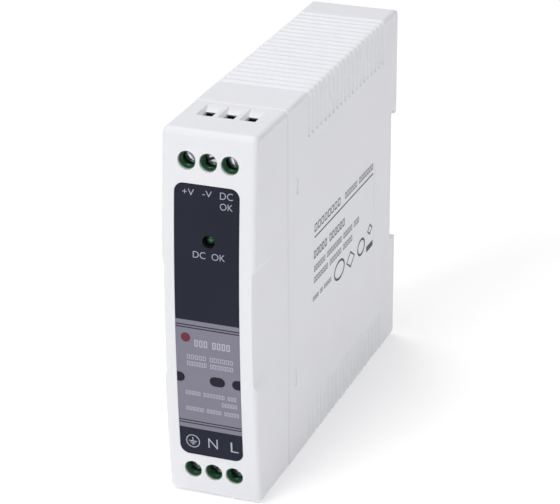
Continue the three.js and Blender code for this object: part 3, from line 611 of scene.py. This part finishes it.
def printed_text(name, words, x0, x1, z0, z1, material):
    """Letters of ink that fill a rectangle."""
    curve = bpy.data.curves.new(name, "FONT")
    curve.body = words
    curve.extrude = 1.0
    curve.resolution_u = 6
    curve.offset = -0.011
    text = bpy.data.objects.new(name, curve)
    bpy.context.scene.collection.objects.link(text)
    graph = bpy.context.evaluated_depsgraph_get()
    mesh = bpy.data.meshes.new_from_object(text.evaluated_get(graph))
    bpy.data.objects.remove(text)
    xs = [v.co.x for v in mesh.vertices]
    ys = [v.co.y for v in mesh.vertices]
    for vertex in mesh.vertices:
        x = x0 + (x1 - x0) * (vertex.co.x - min(xs)) / (max(xs) - min(xs))
        z = z0 + (z1 - z0) * (vertex.co.y - min(ys)) / (max(ys) - min(ys))
        vertex.co = on_film(x, z, 1.0 if vertex.co.z > 0 else -0.5)
    edit = bmesh.new()
    edit.from_mesh(mesh)
    bmesh.ops.remove_doubles(edit, verts=edit.verts, dist=1e-5)
    bmesh.ops.recalc_face_normals(edit, faces=edit.faces)
    edit.to_mesh(mesh)
    edit.free()
    piece = bpy.data.objects.new(name, mesh)
    bpy.context.scene.collection.objects.link(piece)
    return place(piece, name, material, "panel_film")


def greeked(name, place_ink, start, end, low, high, words, material, slot, stroke=0.17):
    """A line of print as empty frames, one for each character, in words of those lengths."""
    share, space = 0.74, 0.8
    pitch = (end - start) / (sum(words) + space * (len(words) - 1) - (1 - share))
    points, faces = [], []
    cursor = start
    for word in words:
        for _ in range(word):
            corners = ((cursor, low), (cursor + share * pitch, high))
            add_frame(points, faces, place_ink, corners, stroke)
            cursor += pitch
        cursor += space * pitch
    return place(mesh_object(name, points, faces), name, material, slot)


def add_frame(points, faces, place_ink, corners, stroke):
    (u0, v0), (u1, v1) = corners
    outer = ((u0, v0), (u1, v0), (u1, v1), (u0, v1))
    inner = (
        (u0 + stroke, v0 + stroke), (u1 - stroke, v0 + stroke),
        (u1 - stroke, v1 - stroke), (u0 + stroke, v1 - stroke),
    )
    base = len(points)
    for level in (0, 1):
        for ring in (outer, inner):
            points.extend(place_ink(u, v, level) for u, v in ring)
    for i in range(4):
        j = (i + 1) % 4
        a, b = base + i, base + j
        faces.extend([(a, b, b + 4, a + 4), (a + 8, a + 12, b + 12, b + 8)])
        faces.extend([(a, a + 8, b + 8, b), (a + 4, b + 4, b + 12, a + 12)])


def panel_print():
    marks = (
        ("mark_plus", "+V", -6.0, -3.2, 75.4, 76.85),
        ("mark_minus", "-V", -1.2, 1.0, 75.5, 76.9),
        ("mark_dc", "DC", 2.95, 5.95, 75.4, 77.0),
        ("mark_ok", "OK", 2.95, 5.95, 72.95, 74.5),
        ("mark_lamp", "DC  OK", -3.4, 4.2, 61.0, 62.55),
        ("mark_neutral", "N", -0.9, 1.4, 13.4, 15.95),
        ("mark_line", "L", 4.6, 6.5, 13.3, 15.9),
    )
    for mark in marks:
        printed_text(*mark, INK_LIGHT)
    earth_symbol(-4.7, 14.5, 1.7)

    left = PANEL_X - PANEL_WIDTH / 2 + 0.06
    right = PANEL_X + PANEL_WIDTH / 2 - 0.06
    printed_band("zone_grey", left, right, 18.05, 45.65, FILM_GREY)
    for i, (z0, z1) in enumerate(((44.32, 44.57), (43.7, 43.95), (19.83, 20.08), (19.18, 19.43))):
        printed_band(f"zone_rule_{i + 1}", left, right, z0, z1, INK_DARK, 2)
    middle, rise = 31.1, 1.2
    right_end = arc(3.82 - rise, middle, rise, -90, 90, 10)
    left_end = arc(0.08 + rise, middle, rise, 90, 270, 10)
    printed("zone_stadium", right_end + left_end, INK_DARK, 2)
    printed("zone_stadium_left", arc(-5.98 - rise, middle, rise, -90, 90, 10)
            + [(left, middle + rise), (left, middle - rise)], INK_DARK, 2)
    printed("zone_stadium_right", arc(5.51 + rise, middle, rise, 90, 270, 10)
            + [(right, middle - rise), (right, middle + rise)], INK_DARK, 2)
    lines = (
        ("title", -3.4, 5.2, 39.3, 41.0, (3, 4), 0.26),
        ("line_a", -5.3, 5.8, 36.0, 37.1, (5, 6), 0.15),
        ("line_b", -5.3, 5.8, 34.3, 35.4, (6, 7), 0.15),
        ("line_c", -5.9, 6.4, 26.8, 27.8, (5, 7, 3), 0.14),
        ("line_d", 2.9, 6.5, 24.9, 25.9, (5,), 0.14),
        ("line_e", -5.9, 6.9, 22.7, 23.7, (6, 5, 5), 0.14),
    )
    for name, x0, x1, z0, z1, words, stroke in lines:
        def ink(u, v, level):
            return on_film(u, v, 0.5 + 1.5 * level)
        greeked(name, ink, x0, x1, z0, z1, words, INK_PALE, "panel_film", stroke)
    printed("title_dot", arc(-5.5, 41.3, 1.15, 0, 360, 32)[:-1], INK_RED, 2)


def earth_symbol(x, z, radius):
    """The protective earth sign: a ring, a stem and three shrinking lines."""
    width = 0.2
    outer = arc(x, z, radius, 0, 360, 40)[:-1]
    inner = arc(x, z, radius - width, 0, 360, 40)[:-1]
    size = len(outer)
    points = [on_film(*p, level) for level in (-0.5, 1.0) for ring in (outer, inner) for p in ring]
    faces = []
    for i in range(size):
        j = (i + 1) % size
        faces.append((i, j, size + j, size + i))
        faces.append((2 * size + i, 3 * size + i, 3 * size + j, 2 * size + j))
        faces.append((i, 2 * size + i, 2 * size + j, j))
        faces.append((size + i, size + j, 3 * size + j, 3 * size + i))
    place(mesh_object("earth_ring", points, faces), "earth_ring", INK_LIGHT, "panel_film")
    printed_band("earth_stem", x - width / 2, x + width / 2, z + 0.12, z + 1.05, INK_LIGHT)
    for i, half in enumerate((1.0, 0.66, 0.32)):
        level = z - 0.08 - 0.42 * i
        printed_band(f"earth_bar_{i + 1}", x - half, x + half, level, level + width, INK_LIGHT)


front_film()
panel_print()


# ---------------------------------------------------------------- rear case


def case_profile():
    rear, corner, seat = at(DEPTH), REAR_CORNER, at(SEAT_DEPTH)
    lip = rear - HOOK_THICKNESS
    return (
        [(at(SEAM), 0.0)]
        + arc(rear - corner, corner, corner, -90, 0, 8)
        + [(rear, SEAT_FOOT), (seat, SEAT_FOOT), (seat, HOOK_TOP), (lip, HOOK_TOP), (lip, SEAT_TOP)]
        + [(rear, SEAT_TOP)]
        + arc(rear - corner, HEIGHT - corner, corner, 0, 90, 8)
        + [(at(SEAM), HEIGHT)]
    )


def case_tube():
    """What rounds the case's long edges, with a chamfer round its front rim."""
    stations = ((SEAM, RIM_CHAMFER), (SEAM + RIM_CHAMFER, 0.0), (DEPTH + 1, 0.0))
    rings = []
    for depth, inset in stations:
        outline = rounded_rectangle(0, MID_Z, 2 * (HALF - inset), HEIGHT - 2 * inset, CASE_EDGE, 7)
        rings.append([(x, at(depth), z) for x, z in outline])
    return loft("tube", rings)


def groove_path():
    """The groove's floor, up one side, over the top and down the other, as (x, z, out x, out z)."""
    floor_x, floor_z = HALF - GROOVE_DEPTH, HEIGHT - GROOVE_DEPTH
    r = GROOVE_CORNER
    corner = [(floor_x - r, floor_z - r, math.radians(90 * i / 8)) for i in range(9)]
    right = [
        (cx + r * math.cos(a), cz + r * math.sin(a), math.cos(a), math.sin(a)) for cx, cz, a in corner
    ]
    left = [(-x, z, -nx, nz) for x, z, nx, nz in reversed(right)]
    return right + left


def groove_tool(index, side):
    """One hoop: sloping walls, and legs that run out in a rounded, rising tip."""
    centre = at(GROOVE_FIRST + index * GROOVE_PITCH)
    beyond = GROOVE_DEPTH + 0.7
    slope = (GROOVE_MOUTH - GROOVE_FLOOR) / 2 / GROOVE_DEPTH
    end = HEIGHT - GROOVE_LEG
    half = GROOVE_MOUTH / 2

    def section(x, z, nx, nz, share=1.0, lift=0.0):
        low = GROOVE_FLOOR / 2 * share + slope * lift * share
        high = (GROOVE_FLOOR / 2 + slope * beyond) * share
        ends = ((-low, lift), (low, lift), (high, beyond), (-high, beyond))
        return [(x + nx * rise, centre + y, z + nz * rise) for y, rise in ends]

    def run(out):
        """The rings of one leg's tip, from the leg down to its end."""
        rings = []
        for angle in [math.radians(82 * i / 6) for i in range(7)]:
            share = math.cos(angle)
            z = end + half * (1 - math.sin(angle))
            lift = GROOVE_DEPTH * 0.45 * (1 - share)
            rings.append(section(out * (HALF - GROOVE_DEPTH), z, out, 0, share, lift))
        return rings

    rings = run(1)[::-1] + [section(*p) for p in groove_path()] + run(-1)
    if side < 0:
        rings = [[(x, y, HEIGHT - z) for x, y, z in ring] for ring in rings]
    return loft("groove", rings)


def rear_case():
    """The case with its cavity, hook, latch pocket, catches for the tongues and ribs for the board."""
    case = prism("case", case_profile(), -HALF, HALF, "x")
    combine(case, [case_tube()], "INTERSECT")
    wall = HALF - CASE_WALL
    tools = [
        block(-wall, wall, at(SEAM - 2), at(CAVITY_BACK), CASE_WALL, HEIGHT - CASE_WALL),
        block(-wall, wall, at(CAVITY_BACK - 1), at(98.2), HOOK_TOP + CASE_WALL, HEIGHT - 2.4),
        block(-8.3, 8.3, at(95.3), at(DEPTH + 2), -1, 31.5),
        block(-9.5, 9.5, at(96.4), at(98.2), 1.0, SEAT_FOOT + 1),
    ]
    for low, high in SNAPS:
        for side in (1, -1):
            across = sorted((side * (wall - 0.1), side * 10.3))
            tools.append(block(*across, at(25.5), at(28.1), low + 0.7, high - 0.7))
    tools += [groove_tool(i, side) for i in range(GROOVE_COUNT) for side in (1, -1)]
    marks = (
        (26.8, 28.0, 67.7, 71.4, 0.3), (25.5, 26.6, 19.5, 23.9, 0.2), (82.4, 83.3, 33.6, 54.35, 0.1),
    )
    for start, end, low, high, deep in marks:
        for side in (1, -1):
            across = sorted((side * (HALF - deep), side * (HALF + PAST)))
            tools.append(block(*across, at(start), at(end), low, high))
    carve(case, tools)
    inside = [block(-2.2, 2.2, at(95.2), at(98.7), 8, 10)]
    inside += seam_lip()
    for low, high in ((CASE_WALL - 0.1, 3.4), (HEIGHT - 3.4, HEIGHT - CASE_WALL + 0.1)):
        inside.append(block(-wall - 0.1, -8.2, at(30), at(CAVITY_BACK + 0.05), low, high))
        inside.append(block(-6.0, -4.8, at(30), at(CAVITY_BACK + 0.05), low, high))
    combine(case, inside, "UNION")
    flatten(case, 0.5)
    smooth(soften(case, 0.13, 2, 30), 32)
    return place(case, "case_shell", SHELL, "shell_plastic", replaces=["rear_case"])


def seam_lip():
    """A thin lip inside the rear case that stands forward behind the joint and keeps light out."""
    outer, inner = HALF - COVER_WALL - 0.08, HALF - COVER_WALL - 0.75
    front, back = at(SEAM - 1.6), at(SEAM + 2)
    wall = HALF - CASE_WALL + 0.1
    lips = []
    for side in (1, -1):
        for low, high in ((5.0, 17.5), (26.0, 65.5), (73.5, 85.0)):
            lips.append(block(*sorted((side * inner, side * outer)), front, back, low, high))
            lips.append(block(*sorted((side * inner, side * wall)), at(SEAM + 0.3), back, low, high))
        edge = MID_Z + side * MID_Z
        span = sorted((edge - side * (COVER_WALL + 0.08), edge - side * (COVER_WALL + 0.75)))
        lips.append(block(-8.8, 8.8, front, back, *span))
        span = sorted((edge - side * (CASE_WALL - 0.1), edge - side * (COVER_WALL + 0.75)))
        lips.append(block(-8.8, 8.8, at(SEAM + 0.3), back, *span))
    return lips


def side_print():
    """Rows of empty frames, two bars and four plain signs stand for the print on the right side."""
    lines = (
        (38.9, 57.0, 53.6, 55.6, (8,), 0.34),
        (60.5, 81.5, 53.6, 55.2, (6, 7), 0.26),
        (38.4, 60.2, 46.9, 48.9, (5, 6), 0.34),
        (38.5, 71.0, 43.5, 45.0, (6, 8, 5, 3), 0.24),
        (38.5, 66.0, 40.6, 42.1, (7, 6, 5), 0.24),
        (37.7, 50.5, 36.2, 37.3, (4, 2, 5), 0.2),
    )

    def ink(u, v, level):
        return (HALF + (INK if level else -0.02), at(u), v)

    for i, (start, end, z0, z1, words, stroke) in enumerate(lines):
        greeked(f"side_line_{i + 1}", ink, start, end, z0, z1, words, INK_SIDE, "shell_plastic", stroke)
    bars = (("rule", 38.9, 81.9, 52.1, 52.5), ("bar", 77.0, 82.0, 32.7, 34.2))
    for name, start, end, low, high in bars:
        bar = block(HALF - 0.02, HALF + INK, at(start), at(end), low, high)
        place(bar, f"side_{name}", INK_SIDE, "shell_plastic")
    signs = (
        ((56.6, 36.6), (3.9, 2.6), 28), ((64.9, 35.9), (3.2, 2.3), 4),
        ((73.0, 35.9), (2.9, 2.3), 28), ((79.7, 38.0), (2.0, 1.6), 4),
    )
    for i, (centre, halves, sides) in enumerate(signs):
        sign = ring_of_ink(ink, centre, halves, 0.62, sides)
        place(sign, f"side_sign_{i + 1}", INK_SIDE, "shell_plastic")


def ring_of_ink(place_ink, centre, halves, stroke, sides):
    """A plain ring, or with four sides a plain diamond."""
    points, faces = [], []
    for level in (0, 1):
        for inset in (0.0, stroke):
            for i in range(sides):
                angle = 2 * math.pi * i / sides
                u = centre[0] + (halves[0] - inset) * math.cos(angle)
                v = centre[1] + (halves[1] - inset) * math.sin(angle)
                points.append(place_ink(u, v, level))
    for i in range(sides):
        j = (i + 1) % sides
        a, b, c, d = i, j, sides + j, sides + i
        low, high = (a, b, c, d), tuple(2 * sides + k for k in (a, d, c, b))
        faces.extend([low, high])
        faces.append((a, 2 * sides + a, 2 * sides + b, b))
        faces.append((d, c, 2 * sides + c, 2 * sides + d))
    return mesh_object("sign", points, faces)


rear_case()
side_print()


# ---------------------------------------------------------------- terminals


def collar(x, z):
    """The lip round a screw's well: a funnel in the cover's hole, whose throat holds the screw in."""
    front, back, outer, mouth, throat, inner = at(2.35), at(4.2), 2.0, 1.88, 1.62, 1.86
    ring = [(outer, front + 0.05), (outer - 0.05, front), (mouth, front), (throat, at(3.05))]
    ring += [(throat, at(3.15)), (inner, at(3.4)), (inner, back), (outer, back)]
    rings = []
    segments = 40
    for i in range(segments):
        a = 2 * math.pi * i / segments
        rings.append([(x + r * math.cos(a), y, z + r * math.sin(a)) for r, y in ring])
    size = len(ring)
    points = [p for around in rings for p in around]
    faces = []
    for i in range(segments):
        n = (i + 1) % segments
        for k in range(size):
            m = (k + 1) % size
            faces.append((i * size + k, i * size + m, n * size + m, n * size + k))
    return mesh_object("collar", points, faces)


def terminal_body(side):
    """A moulded block with a well, a shank bore and a chamber for each pole."""
    sign = 1 if side == "output" else -1

    def height(a, b):
        return sorted((MID_Z + sign * a, MID_Z + sign * b))

    inner, outer, chamber_front = 33, 43.2, 8.8
    bore, chamber_half, contact_half, bridge_half = 1.55, 2.1, 1.1, 2.15
    body = block(-8.1, 8.1, at(3.9), at(19.6), *height(inner, outer))
    tools = []
    for pole in POLES:
        x, z = pole * POLE_PITCH, MID_Z + sign * SCREW_RISE
        well = [(1.92, at(2.9)), (1.92, at(4.3)), (2.05, at(4.45)), (2.05, at(7.55)), (1.9, at(7.8))]
        tools.append(turned_y("well", well, x, z, 40))
        tools.append(turned_y("bore", [(bore, at(7)), (bore, at(9.5))], x, z, 28))
        chamber = [x - chamber_half, x + chamber_half, at(chamber_front), at(18.4)]
        tools.append(block(*chamber, *height(inner + 1, outer + PAST)))
        passage = [x - contact_half, x + contact_half, at(18), at(20.6)]
        tools.append(block(*passage, *height(inner + 1, 35.4)))
    carve(body, tools)
    bridges, collars = [], []
    for pole in POLES:
        x, z = pole * POLE_PITCH, MID_Z + sign * SCREW_RISE
        across = [x - bridge_half, x + bridge_half]
        bridges.append(block(*across, at(chamber_front), at(12.2), *height(42.0, outer)))
        collars.append(collar(x, z))
    combine(body, bridges, "UNION")
    soften(flatten(body, 0.5), 0.12, 2, 30)
    smooth(combine(body, collars, "UNION"), 32)
    name = f"{side}_terminal_body"
    return place(body, f"{side}_block", TERMINAL, "terminal_plastic", replaces=[name])


def screw_pattern():
    """A slotted cheese-head screw on the Y axis, with a cut thread."""
    head = [
        (0.02, at(5.12)), (1.35, at(4.98)), (1.66, at(5.01)), (HEAD_RADIUS, at(5.2)),
        (HEAD_RADIUS, at(7.42)), (1.72, at(7.5)), (0.02, at(7.5)),
    ]
    screw = turned_y("screw", head, 0, 0, 48)
    pitch, root, thread, segments, rows = 0.45, 1.0, 0.25, 24, 56
    start, end = 7.4, 13.2
    rings = []
    for row in range(rows + 1):
        depth = start + (end - start) * row / rows
        fade = min(1.0, (end - depth) / 0.8 + 0.35)
        ring = []
        for i in range(segments):
            angle = 2 * math.pi * i / segments
            phase = (depth / pitch + i / segments) % 1.0
            radius = (root + thread * (1 - abs(2 * phase - 1))) * (0.86 + 0.14 * fade)
            ring.append((radius * math.cos(angle), at(depth), radius * math.sin(angle)))
        rings.append(ring)
    combine(screw, [loft("thread", rings)], "UNION")
    slot_half = 0.35
    carve(screw, [block(-3, 3, at(4), at(5.8), -slot_half, slot_half)])
    return soften(screw, 0.05, 2, 60)


def cage_pattern():
    """A cage of bent strip: a rounded tube along Z, with the threaded hole in its front wall."""
    front, back = 11.6, 17.9
    middle = at((front + back) / 2)
    half, bore = 2.4, 1.32
    outer = rounded_rectangle(0, middle, 3.6, back - front, 0.6, 6)
    window = rounded_rectangle(0, at(14.95), 2.8, 3.9, 0.35, 5)
    cage = prism("cage", outer, -half, half, "z")
    tools = [
        prism("window", window, -half - PAST, half + PAST, "z"),
        turned_y("bore", [(bore, at(10.6)), (bore, at(13.6))], 0, 0, 32),
    ]
    carve(cage, tools)
    flatten(cage, 0.5)
    return soften(cage, 0.07, 2, 32)


def terminal_fittings():
    """Both blocks, and at each pole a screw and its cage. The slots stand at the angles listed."""
    screw, cage = screw_pattern(), cage_pattern()
    slots = {"output": (48, -18, 72), "input": (24, -52, 8)}
    for side, sign in SIDES:
        terminal_body(side)
        for pole in POLES:
            number = pole + 2
            seat = Matrix.Translation((pole * POLE_PITCH, 0, MID_Z + sign * SCREW_RISE))
            turn = seat @ Matrix.Rotation(math.radians(slots[side][pole + 1]), 4, "Y")
            fittings = (("screw", screw, SCREW_STEEL, turn), ("cage", cage, STEEL, seat))
            for kind, pattern, finish, matrix in fittings:
                node = f"{side}_{kind}_{number}"
                piece = smooth(moved(pattern, f"{node}_shape", matrix), 32)
                place(piece, f"{node}_shape", finish, "plated_steel", body=node, replaces=[node])
    for pattern in (screw, cage):
        bpy.data.meshes.remove(pattern.data)


terminal_fittings()


# ---------------------------------------------------------------- status lamp


def status_lamp():
    """A domed lens with a flange, and its two leads."""
    radius, tip = 1.5, 1.6
    dome = [(max(0.02, radius * math.sin(a)), at(tip + radius - radius * math.cos(a)))
            for a in [math.radians(90 * i / 10) for i in range(11)]]
    flange = [(1.86, at(6.25)), (1.9, at(6.4)), (1.9, at(7.1)), (1.8, at(7.2))]
    outline = dome + [(radius, at(6.2))] + flange
    lamp = turned_y("lamp", outline, LAMP_X, LAMP_Z, 40)
    leads = []
    half = 0.25
    for offset in (-1.27, 1.27):
        x = LAMP_X + offset
        leads.append(block(x - half, x + half, at(7.1), at(22.6), LAMP_Z - half, LAMP_Z + half))
    combine(lamp, leads, "UNION")
    return place(smooth(lamp, 40), "lamp_lens", LENS, "lamp_plastic", replaces=["status_lamp"])


def lamp_bezel():
    """A thin dark lining in the lamp's hole."""
    radius = LAMP_HOLE - 0.01
    outline = [(radius, at(front_depth(LAMP_Z) + 0.06)), (radius, at(4.6))]
    bezel = turned_y("bezel", outline, LAMP_X, LAMP_Z, 40)
    carve(bezel, [round_hole(LAMP_X, LAMP_Z, LAMP_HOLE - 0.1)])
    return place(smooth(bezel, 40), "lamp_bezel", BLACK, "black_plastic")


status_lamp()
lamp_bezel()


# ---------------------------------------------------------------- rail latch and spring


def rail_latch():
    """A sliding plate with the spring's window, a nose for the rail, ribs to grip and a slotted pull."""
    plate_front, plate_back = at(95.6), at(98.2)
    nose = [(at(97.35), 25.1), (at(99.6), 25.1), (at(99.6), 29.2), (at(98.0), 31.0), (at(97.35), 31.0)]
    latch = block(-8, 8, plate_front, plate_back, 4, 28.1)
    others = [
        prism("nose", nose, -6, 6, "x"),
        block(-9.2, 9.2, at(96.7), at(97.9), 5, 26),
        block(-4.5, 4.5, plate_back - 0.1, at(99.7), 4, 7.2),
    ]
    for i in range(4):
        low = 8.6 + 1.5 * i
        for side in (1, -1):
            across = sorted((side * 3.7, side * 7.4))
            others.append(block(*across, plate_back - 0.1, plate_back + 0.5, low, low + 0.7))
    combine(latch, others, "UNION")
    tools = [
        block(-2.9, 2.9, at(94.6), at(101), 7.7, 20),
        block(-2.4, 2.4, at(94.6), at(101), 4.9, 6.3),
    ]
    carve(latch, tools)
    flatten(latch, 0.5)
    smooth(soften(latch, 0.14, 3, 30), 34)
    node = "rail_latch"
    return place(latch, "latch_foot", BLACK, "latch_plastic", body=node, replaces=[node])


def latch_spring():
    """A coil with closed end turns. The real spring shortens as the latch is pulled down; this one is a
    fixed mesh.
    """
    wire, radius, turns, sides, steps = 0.225, 1.35, 7.5, 12, 26
    low, high = node_box("latch_spring")[0].z + wire, node_box("latch_spring")[1].z - wire
    depth = 96.95
    closed = 1.0
    end_pitch = 2 * wire * 1.04
    room = (high - low) - 2 * closed * end_pitch
    count = int(turns * steps)
    rings = []
    for i in range(count + 1):
        turn = turns * i / count
        open_turns = min(max(turn - closed, 0.0), turns - 2 * closed)
        end_turns = turn - open_turns
        z = low + end_turns * end_pitch + room * open_turns / (turns - 2 * closed)
        angle = 2 * math.pi * turn
        outward = Vector((math.cos(angle), math.sin(angle), 0))
        centre = Vector((0, at(depth), z)) + outward * radius
        ring = []
        for k in range(sides):
            around = 2 * math.pi * k / sides
            rise = Vector((0, 0, wire * math.sin(around)))
            ring.append(centre + outward * (wire * math.cos(around)) + rise)
        rings.append(ring)
    spring = smooth(loft("spring", rings), 50)
    place(spring, "spring_coil", SPRING_STEEL, "plated_steel", replaces=["latch_spring"])
    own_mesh(spring)


rail_latch()
latch_spring()


# ---------------------------------------------------------------- the pieces inside, kept from the CAD


def finish_inside():
    """Gives each CAD node the finish of its slot."""
    by_slot = {
        "brass": TINNED, "aluminium": ROLLED, "board_laminate": LAMINATE, "black_plastic": BLACK,
        "copper": COPPER, "ferrite": FERRITE, "sleeve_film": SLEEVE, "blue_epoxy": BLUE,
        "green_epoxy": GREEN, "yellow_plastic": YELLOW, "nylon": NYLON, "sheet_film": SHEET,
        "plated_steel": STEEL, "lamp_plastic": LENS, "terminal_plastic": TERMINAL,
        "shell_plastic": SHELL, "panel_film": FILM, "latch_plastic": BLACK,
    }
    for part in frame["record"]["subparts"]:
        obj = frame["nodes"][part["node"]]
        for holder in obj.material_slots:
            holder.link = "OBJECT"
            holder.material = by_slot[part["material_slot"]]


finish_inside()


# ---------------------------------------------------------------- floor, light and camera


def floor():
    size = 3.0
    mesh = bpy.data.meshes.new("floor")
    corners = [(-size, -size, 0), (size, -size, 0), (size, size, 0), (-size, size, 0)]
    mesh.from_pydata(corners, [], [(0, 1, 2, 3)])
    obj = bpy.data.objects.new("floor", mesh)
    bpy.context.scene.collection.objects.link(obj)
    obj.location.z = -0.0002
    material, principled, _ = shader("floor_white", 0.9)
    principled.inputs["Base Color"].default_value = (0.97, 0.97, 0.97, 1)
    principled.inputs["Emission Color"].default_value = (1, 1, 1, 1)
    principled.inputs["Emission Strength"].default_value = 0.22
    mesh.materials.append(material)


def area_light(name, energy, size, location):
    """A rectangular light aimed at the middle of the object."""
    data = bpy.data.lights.new(name, "AREA")
    data.energy = energy
    data.shape = "RECTANGLE"
    data.size, data.size_y = size
    obj = bpy.data.objects.new(name, data)
    bpy.context.scene.collection.objects.link(obj)
    obj.location = location
    aim = Vector((0, 0, 0.045)) - Vector(location)
    obj.rotation_euler = aim.to_track_quat("-Z", "Y").to_euler()


def light():
    world = bpy.data.worlds.new("studio")
    bpy.context.scene.world = world
    world.use_nodes = True
    background = world.node_tree.nodes["Background"]
    background.inputs["Color"].default_value = (1.0, 1.0, 1.0, 1)
    background.inputs["Strength"].default_value = 0.32
    area_light("key", 4.8, (0.5, 0.5), (-0.30, -0.85, 0.75))
    area_light("side", 2.2, (0.5, 0.5), (0.70, -0.35, 0.85))
    area_light("overhead", 3.9, (0.55, 0.9), (-0.28, 0.22, 0.95))
    bpy.context.scene.view_settings.view_transform = "Standard"


def camera():
    """The view of the object: from its right, a little above, aimed just below its middle."""
    azimuth, elevation, roll = math.radians(20.766), math.radians(23.709), math.radians(-0.299)
    distance, aside, below = 559.288, -1.564, -2.464
    back = Vector((
        math.sin(azimuth) * math.cos(elevation),
        -math.cos(azimuth) * math.cos(elevation),
        math.sin(elevation),
    ))
    right = Vector((math.cos(azimuth), math.sin(azimuth), 0))
    up = back.cross(right)
    right, up = (
        right * math.cos(roll) + up * math.sin(roll),
        up * math.cos(roll) - right * math.sin(roll),
    )
    centre = (LOW + HIGH) / 2
    location = centre + back * distance + right * aside + up * below
    matrix = Matrix((right, up, back)).transposed().to_4x4()
    matrix.translation = location * MM
    data = bpy.data.cameras.new("camera")
    data.lens = 149.095
    data.sensor_width = 36
    obj = bpy.data.objects.new("camera", data)
    bpy.context.scene.collection.objects.link(obj)
    obj.matrix_world = matrix
    bpy.context.scene.camera = obj


floor()
light()
camera()
